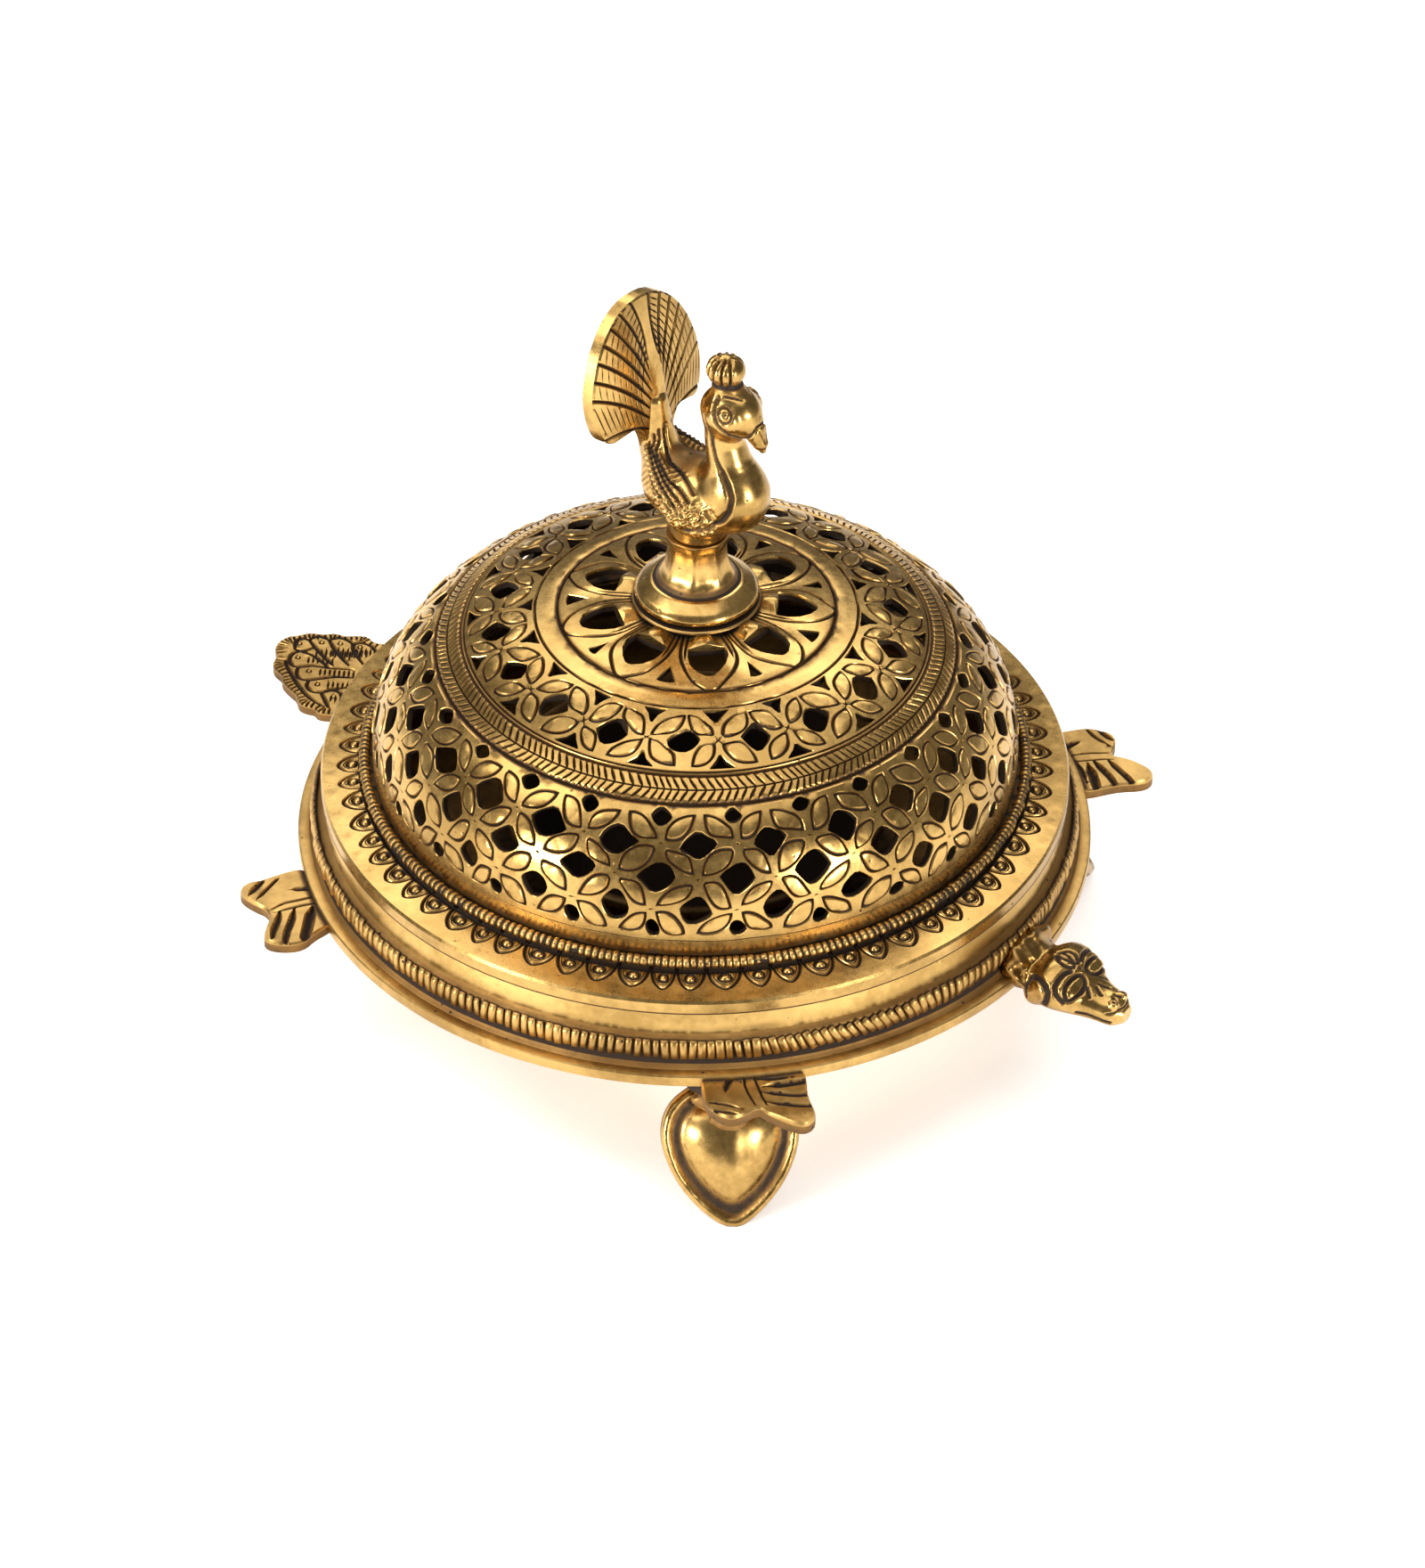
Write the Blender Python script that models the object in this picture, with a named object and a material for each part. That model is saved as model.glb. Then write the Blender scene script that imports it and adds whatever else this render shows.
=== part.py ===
"""Tortoise incense (dhoop) burner with a pierced lift-off lid and a peacock finial.

Metres, +Z up, origin on the ground under the middle of the dish. The tortoise's head and the
peacock both face +X. The base is one brazed assembly: a spun dish, a milled band, a cast plate
with the head, tail and flippers on its rim, and three leaf feet. The lid lifts off along +Z,
and a loose ember cup stands in the dish.
"""
from math import asin, atan2, cos, hypot, pi, radians, sin, tau

import bmesh
import bpy
from mathutils import Matrix, Vector

for old in list(bpy.data.objects):
    bpy.data.objects.remove(old, do_unlink=True)

# Driving dimensions
RIM_R = 0.0675            # radius of the lid's flat rim, which everything else is worked out from
RIM_TOP = 0.0420          # height of the rim's top edge above the ground
RIM_EDGE = 0.0026         # thickness of the rim at its edge
REACH = 0.0932            # head tip and tail tip, from the axis
GAP = 0.0003              # clearance between touching pieces
ROUND = 48                # facets round a large turned piece
SMALL_ROUND = 20          # facets round a small turned piece

# Dish, band and plate
DISH_TOP = RIM_TOP - 0.0030
DISH_MOUTH_R = 0.985 * RIM_R
SHEET = 0.0014            # wall of the spun dish
BELLY_BOTTOM = 0.0140
BELLY_FLAT_R = 0.0380
BAND_Z = RIM_TOP - 0.14 * RIM_R
BAND_HALF = 0.0019        # half height and depth of the half-round band
PLATE_TOP = 0.0292
PLATE_THICK = 0.0022
PLATE_R = 1.067 * RIM_R
PLATE_HOLE_R = 0.0623

# Limbs
LIMB_TOP = 0.0287
LIMB_THICK = 0.0022
ROOT_R = PLATE_R + GAP
TAIL_HALF_ANGLE = 9.4
FRONT_FLIPPER_AT = 48.0
REAR_FLIPPER_AT = 127.0

# Feet
FOOT_ANGLES = {"foot_front_left": 51.0, "foot_front_right": -51.0, "foot_rear": 180.0}
FOOT_TIP_R = 0.0783
FOOT_SLOPE = 60.0         # lean of the leaf from the ground, degrees
FOOT_LENGTH = 0.0270
FOOT_HALF_WIDTH = 0.0121
FOOT_FLAT = 0.0010        # how much of the leaf's tip is filed off flat

# Lid
DOME_R = 0.86 * RIM_R
DOME_RISE = 0.485 * RIM_R
DOME_BASE = RIM_TOP + 0.05 * RIM_R
DOME_POWER = 2.5          # power of the dome's superellipse
DOME_WALL = 0.0013
COLUMNS = 25              # holes round the lattice
STARS = 18                # holes round the crown zone
PETALS = 9                # petals of the rosette
LATTICE_TURN = 1.4        # where each ring of holes starts, degrees from +X
STAR_TURN = 10.0
PETAL_TURN = 10.4
ROPE_R = 0.8828 * RIM_R
ROPE_HALF = 0.0012
SPIGOT_R = 0.0644
SPIGOT_WALL = 0.0013
SPIGOT_DEPTH = 0.0062

# Finial
STUD_R = 0.0025
STUD_HOLE_R = STUD_R + GAP
HUB_R = 0.163 * RIM_R
STEM_TOP = 0.0930
NUT_FLATS = 0.0080

# Ember cup
CUP_FLOOR_R = 0.0220
CUP_MOUTH_R = 0.0345
CUP_TOP = 0.0360
CUP_WALL = 0.0010


def brass(name, color, roughness):
    """One metal finish of its own for each piece."""
    material = bpy.data.materials.new(name + "_metal")
    material.use_nodes = True
    shader = material.node_tree.nodes["Principled BSDF"]
    shader.inputs["Base Color"].default_value = (*color, 1.0)
    shader.inputs["Metallic"].default_value = 1.0
    shader.inputs["Roughness"].default_value = roughness
    return material


AGED = (0.55, 0.37, 0.14)
BRIGHT = (0.72, 0.50, 0.20)
PLAIN = (0.62, 0.46, 0.22)
SOOTY = (0.30, 0.21, 0.11)


def solid(name, bm):
    """Turn a closed bmesh into an object with its faces outward."""
    bmesh.ops.recalc_face_normals(bm, faces=bm.faces)
    mesh = bpy.data.meshes.new(name)
    bm.to_mesh(mesh)
    bm.free()
    piece = bpy.data.objects.new(name, mesh)
    bpy.context.scene.collection.objects.link(piece)
    return piece


def finish(name, bm, color, roughness=0.35):
    """A finished piece: round faces smooth, and a metal of its own."""
    piece = solid(name, bm)
    piece.data.shade_smooth()
    piece.data.set_sharp_from_angle(angle=radians(35))
    piece.data.materials.append(brass(name, color, roughness))
    return piece


def turn_angles(count, offset=0.0):
    return [tau * (k + offset) / count for k in range(count)]


def arc(center, radius, start, end, count):
    """Points of an arc in a profile, angles in degrees, both ends included."""
    steps = [radians(start + (end - start) * k / (count - 1)) for k in range(count)]
    return [(center[0] + radius * cos(a), center[1] + radius * sin(a)) for a in steps]


def bridge(bm, low, high):
    """Faces between two rings of equal count; a ring of one vertex is a pole."""
    count = max(len(low), len(high))
    for k in range(count):
        quad = [low[k % len(low)], low[(k + 1) % len(low)], high[(k + 1) % len(high)], high[k % len(high)]]
        bm.faces.new(list(dict.fromkeys(quad)))


def turned(profile, steps=ROUND):
    """Solid of revolution about Z from (radius, height) points; closed unless it meets the axis."""
    bm = bmesh.new()
    rings = []
    for r, z in profile:
        angles = turn_angles(steps) if r > 0 else [0.0]
        rings.append([bm.verts.new((r * cos(a), r * sin(a), z)) for a in angles])
    for low, high in zip(rings, rings[1:]):
        bridge(bm, low, high)
    if len(rings[0]) > 1:
        bridge(bm, rings[-1], rings[0])
    return bm


def slab(outline, z_low, z_high):
    """Plate with a flat outline of (x, y) points."""
    bm = bmesh.new()
    low = [bm.verts.new((x, y, z_low)) for x, y in outline]
    high = [bm.verts.new((x, y, z_high)) for x, y in outline]
    bm.faces.new(low[::-1])
    bm.faces.new(high)
    bridge(bm, low, high)
    return bm


def loft(sections):
    """Solid through rings of points, its two ends closed by flat or fanned caps."""
    bm = bmesh.new()
    rings = [[bm.verts.new(p) for p in section] for section in sections]
    for low, high in zip(rings, rings[1:]):
        bridge(bm, low, high)
    for ring in (rings[0], rings[-1]):
        if len(ring) > 2:
            bmesh.ops.triangulate(bm, faces=[bm.faces.new(ring)])
    return bm


def polar(points):
    """(degrees, radius) pairs as (x, y)."""
    return [(r * cos(radians(a)), r * sin(radians(a))) for a, r in points]


def union(name, solids, color, roughness=0.3):
    """One body from solids that run into each other."""
    pieces = [solid("blank", bm) for bm in solids]
    base = pieces[0]
    for other in pieces[1:]:
        joint = base.modifiers.new("join", "BOOLEAN")
        joint.operation = "UNION"
        joint.solver = "EXACT"
        joint.object = other
    evaluated = base.evaluated_get(bpy.context.evaluated_depsgraph_get())
    bm = bmesh.new()
    bm.from_mesh(evaluated.to_mesh())
    evaluated.to_mesh_clear()
    for piece in pieces:
        bpy.data.objects.remove(piece, do_unlink=True)
    bmesh.ops.remove_doubles(bm, verts=bm.verts, dist=2e-5)
    bmesh.ops.dissolve_degenerate(bm, edges=bm.edges, dist=1e-5)
    return finish(name, bm, color, roughness)


def ball(center, radii, tilt=0.0, segments=14, rings=8):
    """Ellipsoid, tilted about Y in degrees."""
    bm = bmesh.new()
    bmesh.ops.create_uvsphere(bm, u_segments=segments, v_segments=rings, radius=1.0)
    place = Matrix.Translation(center) @ Matrix.Rotation(radians(tilt), 4, "Y") @ Matrix.Diagonal((*radii, 1.0))
    bmesh.ops.transform(bm, matrix=place, verts=bm.verts)
    return bm


def limb(points, segments=12):
    """Round tapering bar through (x, z, radius) points in the plane of symmetry."""
    sections = []
    for k, (x, z, r) in enumerate(points):
        x0, z0, _ = points[max(k - 1, 0)]
        x1, z1, _ = points[min(k + 1, len(points) - 1)]
        lean = atan2(z1 - z0, x1 - x0)
        side = Vector((-sin(lean), 0.0, cos(lean)))
        ring = []
        for a in turn_angles(segments):
            ring.append(Vector((x, 0.0, z)) + side * r * cos(a) + Vector((0.0, r * sin(a), 0.0)))
        sections.append(ring)
    return loft(sections)


# Base: dish, band and plate

def base_dish():
    """Spun bowl: a flared wall above the plate, a shoulder on it, and a round belly below."""
    shoulder = PLATE_TOP + GAP
    belly_r = PLATE_HOLE_R - GAP
    rise = shoulder - 0.0025 - BELLY_BOTTOM
    run = belly_r - BELLY_FLAT_R
    belly = [(BELLY_FLAT_R + run * sin(a), BELLY_BOTTOM + rise * (1 - cos(a)))
             for a in (radians(18 * k) for k in range(6))]
    inner = [(r - SHEET, z + SHEET) for r, z in belly]
    foot_r = RIM_R - 0.0001
    outer_wall = [(belly_r, shoulder), (foot_r, shoulder), (foot_r, BAND_Z + BAND_HALF),
                  (DISH_MOUTH_R + 0.0003, DISH_TOP - 0.0025), (DISH_MOUTH_R, DISH_TOP)]
    inner_wall = [(DISH_MOUTH_R - SHEET, DISH_TOP), (foot_r - SHEET, BAND_Z + BAND_HALF),
                  (foot_r - SHEET, shoulder + SHEET), (belly_r - SHEET, shoulder + SHEET)]
    profile = [(0, BELLY_BOTTOM)] + belly + outer_wall + inner_wall + inner[::-1] + [(0, BELLY_BOTTOM + SHEET)]
    return finish("base_dish", turned(profile), PLAIN, 0.32)


def milled_band():
    """Half-round strip, flat against the wall."""
    back = RIM_R + 0.0002
    profile = [(back, BAND_Z - BAND_HALF)] + arc((back, BAND_Z), BAND_HALF, -75, 75, 6) + [(back, BAND_Z + BAND_HALF)]
    return finish("milled_band", turned(profile), AGED, 0.4)


def shell_plate():
    """Flat ring with a rounded rim, under the dish's shoulder."""
    low = PLATE_TOP - PLATE_THICK
    round_off = 0.0008
    profile = [(PLATE_HOLE_R, low), (PLATE_R - round_off, low), (PLATE_R, low + round_off),
               (PLATE_R, PLATE_TOP - round_off), (PLATE_R - round_off, PLATE_TOP), (PLATE_HOLE_R, PLATE_TOP)]
    return finish("shell_plate", turned(profile), AGED, 0.38)


# Tortoise

def root_arc(from_degrees, to_degrees, count=4):
    """Points of a limb's root, which follows the plate's edge."""
    step = (to_degrees - from_degrees) / (count - 1)
    return [(from_degrees + step * k, ROOT_R) for k in range(count)]


def tail_fan():
    """Fan with a scalloped edge, widest near its root."""
    half = [(0.0740, 0.0119), (0.0765, 0.0126), (0.0790, 0.0118), (0.0815, 0.0116), (0.0845, 0.0104),
            (0.0870, 0.0095), (0.0893, 0.0079), (0.0911, 0.0062), (0.0925, 0.0036)]
    outline = [(-x, y) for x, y in half] + [(-REACH, 0.0)] + [(-x, -y) for x, y in half[::-1]]
    root = polar(root_arc(180 + TAIL_HALF_ANGLE, 180 - TAIL_HALF_ANGLE))
    return finish("tail_fan", slab(outline + root, LIMB_TOP - LIMB_THICK, LIMB_TOP), AGED)


# Flipper outlines: degrees towards the tail from the flipper's own middle, and radius
FRONT_OUTLINE = [(6.8, 0.0786), (4.3, 0.0818), (2.9, 0.0815), (0.2, 0.0790), (-0.8, 0.0815), (-3.9, 0.0853),
                 (-5.0, 0.0853), (-6.1, 0.0835), (-5.7, 0.0785)]
REAR_OUTLINE = [(6.8, 0.0745), (5.9, 0.0790), (5.2, 0.0833), (4.2, 0.0840), (2.3, 0.0829), (-0.6, 0.0798),
                (-4.6, 0.0831), (-6.0, 0.0834), (-7.3, 0.0810), (-7.8, 0.0778), (-6.6, 0.0752)]


def flipper(name, middle, outline, side, root_span):
    """Flat flipper; side is +1 on the left and -1 on the right."""
    points = [(middle + a, r) for a, r in outline] + root_arc(middle + root_span[0], middle + root_span[1])
    points = polar([(side * a, r) for a, r in points])
    return finish(name, slab(points[::side], LIMB_TOP - LIMB_THICK, LIMB_TOP), AGED)


def head():
    """Flattened head: a neck collar, broad crown and narrow drooping snout."""
    sections = []
    # distance out, half width, middle height, half height; the first one follows the plate's edge
    for x, w, z, h in ((0.0, 0.0058, 0.0276, 0.0030), (0.0745, 0.0053, 0.0279, 0.0031),
                       (0.0758, 0.0072, 0.0285, 0.0042), (0.0780, 0.0080, 0.0286, 0.0047),
                       (0.0806, 0.0073, 0.0280, 0.0042), (0.0835, 0.0052, 0.0270, 0.0034),
                       (0.0870, 0.0038, 0.0263, 0.0029), (0.0908, 0.0033, 0.0259, 0.0027),
                       (REACH, 0.0017, 0.0256, 0.0015)):
        ring = []
        for a in turn_angles(14):
            y = w * cos(a)
            ring.append((x if x > 0 else (ROOT_R ** 2 - y ** 2) ** 0.5, y, z + h * sin(a)))
        sections.append(ring)
    return finish("head", loft(sections), BRIGHT, 0.25)


def foot(name, degrees):
    """Leaf leaning outwards on its tip: raised rim, channel and domed middle, with a shank behind."""
    slope = radians(FOOT_SLOPE)
    along = Vector((-cos(slope), 0.0, sin(slope)))
    across = Vector((0.0, 1.0, 0.0))
    face = Vector((sin(slope), 0.0, cos(slope)))
    tip = Vector((FOOT_TIP_R, 0.0, -FOOT_FLAT))
    heart = tip + along * FOOT_LENGTH * 0.52
    # the leaf's outline: distance up from its middle and half width, both as parts of its length
    half = [(-0.52, 0.0), (-0.48, 0.10), (-0.36, 0.24), (-0.18, 0.38), (0.02, 0.46), (0.20, 0.47), (0.36, 0.38),
            (0.46, 0.20), (0.48, 0.0)]
    outline = half + [(v, -w) for v, w in half[-2:0:-1]]
    widen = FOOT_HALF_WIDTH / (0.47 * FOOT_LENGTH)

    def ring(scale, lift):
        return [heart + (along * v + across * w * widen) * FOOT_LENGTH * scale + face * lift for v, w in outline]

    leaf = loft([[heart - face * 0.0012]] + [ring(*step) for step in
                 ((0.90, -0.0012), (1.0, -0.0004), (1.0, 0.0014), (0.90, 0.0014), (0.80, 0.0004),
                  (0.55, 0.0022), (0.28, 0.0034))] + [[heart + face * 0.0037]])
    bmesh.ops.bisect_plane(leaf, geom=leaf.verts[:] + leaf.edges[:] + leaf.faces[:], dist=1e-6,
                           plane_co=(0, 0, 0), plane_no=(0, 0, -1), clear_outer=True)
    bmesh.ops.edgeloop_fill(leaf, edges=[e for e in leaf.edges if e.is_boundary])
    shank_low, shank_high = 0.0120, PLATE_TOP - PLATE_THICK - GAP
    shank = loft([[(x, y, z) for x, y in ((r0, -w), (r1, -w), (r1, w), (r0, w))]
                  for r0, r1, w, z in ((0.0700, 0.0722, 0.0034, shank_low), (0.0655, 0.0705, 0.0045, 0.0190),
                                       (0.0640, 0.0700, 0.0055, shank_high))])
    for bm in (leaf, shank):
        bmesh.ops.rotate(bm, verts=bm.verts, cent=(0, 0, 0), matrix=Matrix.Rotation(radians(degrees), 3, "Z"))
    return union(name, [leaf, shank], BRIGHT, 0.2)


# Lid

def dome_point(phi, angle, depth=0.0):
    """Point of the dome at profile angle phi from its top, a depth inside the outer skin."""
    p = 2.0 / DOME_POWER
    c, s = max(cos(phi), 0.0) ** p, sin(phi) ** p
    nr, nz = s ** (DOME_POWER - 1) / DOME_R, c ** (DOME_POWER - 1) / DOME_RISE
    length = hypot(nr, nz)
    r = DOME_R * s - depth * nr / length
    z = DOME_BASE + DOME_RISE * c - depth * nz / length
    return Vector((r * cos(angle), r * sin(angle), z))


def dome_phi(radius):
    """Profile angle of the dome where it has this radius."""
    return asin(min(1.0, (radius / DOME_R) ** (DOME_POWER / 2.0)))


def dome_rows(first_radius, fractions):
    """Profile angles at fractions of the way down the skin from a radius to the dome's foot."""
    start, steps = dome_phi(first_radius), 200
    phis = [start + (pi / 2 - start) * k / steps for k in range(steps + 1)]
    lengths = [0.0]
    for a, b in zip(phis, phis[1:]):
        lengths.append(lengths[-1] + (dome_point(b, 0) - dome_point(a, 0)).length)
    return [phis[min(range(steps + 1), key=lambda k: abs(lengths[k] - f * lengths[-1]))] for f in fractions]


def lid_dome():
    """Pierced shell: rosette, crown zone and lattice, each a ring of cells with a hole in it."""
    cells = []              # polygons of (phi, angle) corners, counterclockwise from above

    def ring(radius, count, turn):
        return [(dome_phi(radius), a + radians(turn)) for a in turn_angles(count)]

    def strip(inner, outer):
        """Triangles or quads between two rings, whatever their counts."""
        if len(inner) == len(outer):
            for k in range(len(inner)):
                n = (k + 1) % len(inner)
                cells.append([inner[k], outer[k], outer[n], inner[n]])
            return
        i = j = 0
        while i < len(inner) or j < len(outer):
            if j == len(outer) or (i < len(inner) and (i + 1) * len(outer) <= (j + 1) * len(inner)):
                cells.append([inner[i % len(inner)], outer[j % len(outer)], inner[(i + 1) % len(inner)]])
                i += 1
            else:
                cells.append([inner[i % len(inner)], outer[j % len(outer)], outer[(j + 1) % len(outer)]])
                j += 1

    def pierced(corners, keep):
        """A frame of quads between a cell's corners and the same corners drawn in."""
        base = corners[0][1]
        near = [(p, a if abs(a - base) < pi else a - tau * (1 if a > base else -1)) for p, a in corners]
        mp = sum(p for p, _ in near) / len(near)
        ma = sum(a for _, a in near) / len(near)
        hole = [(mp + (p - mp) * keep, ma + (a - ma) * keep) for p, a in near]
        for k in range(len(near)):
            n = (k + 1) % len(near)
            cells.append([corners[k], corners[n], hole[n], hole[k]])

    def pierced_ring(inner, outer, wide, keep):
        """Cells that are some columns wide between two rings of the same count."""
        count = len(inner)
        for k in range(0, count, wide):
            span = [(k + i) % count for i in range(wide + 1)]
            pierced([outer[i] for i in span] + [inner[i] for i in span[::-1]], keep)

    hole = ring(STUD_HOLE_R, 2 * PETALS, PETAL_TURN)
    hub = ring(0.19 * RIM_R, 2 * PETALS, PETAL_TURN)
    petals = ring(0.33 * RIM_R, 2 * PETALS, PETAL_TURN)
    crown_in = ring(0.42 * RIM_R, 2 * STARS, STAR_TURN)
    crown_out = ring(0.615 * RIM_R, 2 * STARS, STAR_TURN)
    lattice_top = ring(0.6925 * RIM_R, 2 * COLUMNS, LATTICE_TURN)
    strip(hole, hub)
    pierced_ring(hub, petals, 2, 0.50)
    strip(petals, crown_in)
    pierced_ring(crown_in, crown_out, 2, 0.45)
    strip(crown_out, lattice_top[1:] + lattice_top[:1])

    rows = dome_rows(0.6925 * RIM_R, (0.04, 0.26, 0.467, 0.68, 0.885))
    knots = [[(phi, a + radians(LATTICE_TURN)) for a in turn_angles(COLUMNS, 0.5 * (level % 2))]
             for level, phi in enumerate(rows)]
    zigzag = [(upper[k], lower[k]) for upper, lower in ((knots[0], knots[1]), (knots[4], knots[3]))
              for k in range(COLUMNS)]
    strip(lattice_top, [p for pair in zigzag[:COLUMNS] for p in pair])
    for level, open_part in ((1, 0.50), (2, 0.43), (3, 0.37)):
        for k in range(COLUMNS):
            right = (k + 1) % COLUMNS
            middle = right if level % 2 else k
            above, below = knots[level - 1][middle], knots[level + 1][middle]
            pierced([above, knots[level][k], below, knots[level][right]], open_part)
    foot = ring(DOME_R, 2 * COLUMNS, LATTICE_TURN)
    strip([p for pair in zigzag[COLUMNS:] for p in pair], foot)

    bm = bmesh.new()
    made = {}               # corner to its vertex on the outer skin and on the inner one

    def skins(corner):
        key = (round(corner[0], 6), round(corner[1] % tau, 6) % round(tau, 6))
        if key not in made:
            made[key] = [bm.verts.new(dome_point(*corner, depth)) for depth in (0.0, DOME_WALL)]
        return made[key]

    for cell in cells:
        bm.faces.new([skins(c)[0] for c in cell])
        bm.faces.new([skins(c)[1] for c in cell][::-1])
    skirt = []
    for corner in foot:
        low = [bm.verts.new((v.co.x, v.co.y, RIM_TOP + 0.0012)) for v in skins(corner)]
        skirt.append(low)
        made[len(made)] = low
    for skin in (0, 1):
        bridge(bm, [low[skin] for low in skirt], [skins(c)[skin] for c in foot])
    within = {outer: inner for outer, inner in made.values()}
    for a, b in [e.verts[:] for e in bm.edges if e.is_boundary and all(v in within for v in e.verts)]:
        bm.faces.new([a, b, within[b], within[a]])
    return finish("lid_dome", bm, PLAIN, 0.35)


def lid_flange():
    """Flat rim that slopes gently outwards."""
    inner_r, low = 0.0555, RIM_TOP - RIM_EDGE
    bevel = 0.0004
    profile = [(inner_r, low), (RIM_R - bevel, low), (RIM_R, low + bevel), (RIM_R, RIM_TOP - bevel),
               (RIM_R - bevel, RIM_TOP), (0.90 * RIM_R, RIM_TOP + 0.0008), (inner_r, RIM_TOP + 0.0008)]
    return finish("lid_flange", turned(profile), BRIGHT, 0.3)


def rope_ring():
    """Roped wire in the corner between dome and rim."""
    middle = (ROPE_R, RIM_TOP + 0.0012 + ROPE_HALF)
    return finish("rope_ring", turned(arc(middle, ROPE_HALF, 0, 315, 8)), AGED, 0.4)


def lid_spigot():
    """Hoop under the rim that drops into the dish's mouth."""
    top = RIM_TOP - RIM_EDGE - GAP
    inner = SPIGOT_R - SPIGOT_WALL
    profile = [(inner, top - SPIGOT_DEPTH), (SPIGOT_R - 0.0004, top - SPIGOT_DEPTH),
               (SPIGOT_R, top - SPIGOT_DEPTH + 0.0008), (SPIGOT_R, top), (inner, top)]
    return finish("lid_spigot", turned(profile), PLAIN, 0.4)


# Finial

DOME_TOP = DOME_BASE + DOME_RISE
HUB_LOW = DOME_TOP + GAP + 0.0008 + GAP
WASHER_TOP = DOME_TOP - DOME_WALL - GAP
NUT_TOP = WASHER_TOP - 0.0010 - GAP
NUT_THICK = 0.0035


def ring_washer(name, outer_r, low, high):
    profile = [(STUD_HOLE_R, low), (outer_r, low), (outer_r, high), (STUD_HOLE_R, high)]
    return finish(name, turned(profile, 24), AGED, 0.35)


def finial_pedestal():
    """Turned hub with a trumpet stem above it and the stud below."""
    stud_low = NUT_TOP - NUT_THICK - 0.0015
    trumpet_low, trumpet_high = HUB_LOW + 0.0022, STEM_TOP - 0.0022
    trumpet = [(0.0048 + (HUB_R - 0.0058) * (1 - t) ** 3.2, trumpet_low + (trumpet_high - trumpet_low) * t)
               for t in (0.0, 0.12, 0.28, 0.5, 0.75, 1.0)]
    profile = [(0, stud_low), (STUD_R, stud_low), (STUD_R, HUB_LOW), (HUB_R - 0.0003, HUB_LOW),
               (HUB_R, HUB_LOW + 0.0009), (HUB_R - 0.0003, HUB_LOW + 0.0018)] + trumpet
    profile += [(0.0056, STEM_TOP - 0.0004), (0.0056, STEM_TOP), (0, STEM_TOP)]
    return finish("finial_pedestal", turned(profile, SMALL_ROUND), BRIGHT, 0.22)


def finial_nut():
    """Hexagon nut on the stud, under the dome."""
    corner_r, hole_r = NUT_FLATS / (2 * cos(pi / 6)), STUD_HOLE_R / cos(pi / 6)
    low, high = NUT_TOP - NUT_THICK, NUT_TOP
    profile = [(hole_r, low), (corner_r, low), (corner_r, high), (hole_r, high)]
    return finish("finial_nut", turned(profile, 6), AGED, 0.4)


def fan_slab():
    """Raised tail: a spade-shaped slab whose two halves are swept back a little."""
    # half width and height, round one half from the top to the stalk
    half = [(0.0, 0.1376), (0.0058, 0.1366), (0.0108, 0.1332), (0.0134, 0.1280), (0.0140, 0.1222),
            (0.0134, 0.1168), (0.0120, 0.1128), (0.0088, 0.1132), (0.0048, 0.1118), (0.0, 0.1098)]
    thick, sweep, front = 0.0024, 0.22, -0.0072
    bm = bmesh.new()
    rows = []
    for x in (front, front - thick):
        left = [bm.verts.new((x - sweep * y, y, z)) for y, z in half]
        inside = [bm.verts.new((x - sweep * y, -y, z)) for y, z in half[1:-1]]
        right = [left[0]] + inside + [left[-1]]
        bm.faces.new(left)
        bm.faces.new(right)
        rows.append(left + inside[::-1])
    bridge(bm, rows[0], rows[1])
    return bm


def peacock():
    """Bird standing on the pedestal: round body, thick S neck, beak, crest button and fan."""
    body = ball((0.0016, 0, 0.1012), (0.0122, 0.0074, 0.0068), tilt=-6, segments=16, rings=10)
    breast = ball((0.0080, 0, 0.1042), (0.0063, 0.0062, 0.0070))
    neck = limb([(0.0090, 0.1040, 0.0056), (0.0074, 0.1100, 0.0044), (0.0062, 0.1150, 0.0042), (0.0062, 0.1190, 0.0040)])
    skull = ball((0.0070, 0, 0.1208), (0.0060, 0.0050, 0.0052))
    beak = limb([(0.0095, 0.1215, 0.0030), (0.0124, 0.1185, 0.0022), (0.0136, 0.1153, 0.0006)], 10)
    crest = ball((0.0058, 0, 0.1284), (0.0034, 0.0034, 0.0032), segments=12, rings=8)
    tuft = limb([(0.0060, 0.1235, 0.0028), (0.0058, 0.1270, 0.0022)], 10)
    stalk = limb([(-0.0056, 0.1010, 0.0050), (-0.0076, 0.1070, 0.0042), (-0.0084, 0.1120, 0.0030),
                  (-0.0084, 0.1200, 0.0020)])
    pad = limb([(0.0, STEM_TOP + GAP, 0.0055), (0.0, 0.1000, 0.0055)])
    return union("peacock", [body, breast, neck, skull, beak, tuft, crest, stalk, pad, fan_slab()], BRIGHT, 0.2)


def ember_cup():
    """Loose spun cup with a rolled rim, standing on the dish's floor."""
    floor = BELLY_BOTTOM + SHEET + GAP
    lip = 0.0010
    profile = [(0, floor), (CUP_FLOOR_R, floor), (CUP_FLOOR_R + 0.0035, floor + 0.0030),
               (CUP_MOUTH_R, CUP_TOP - 2 * lip), (CUP_MOUTH_R + lip, CUP_TOP - 2 * lip),
               (CUP_MOUTH_R + lip, CUP_TOP), (CUP_MOUTH_R - CUP_WALL, CUP_TOP),
               (CUP_FLOOR_R + 0.0035 - CUP_WALL, floor + 0.0035), (CUP_FLOOR_R - CUP_WALL, floor + CUP_WALL),
               (0, floor + CUP_WALL)]
    return finish("ember_cup", turned(profile, 36), SOOTY, 0.5)


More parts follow.
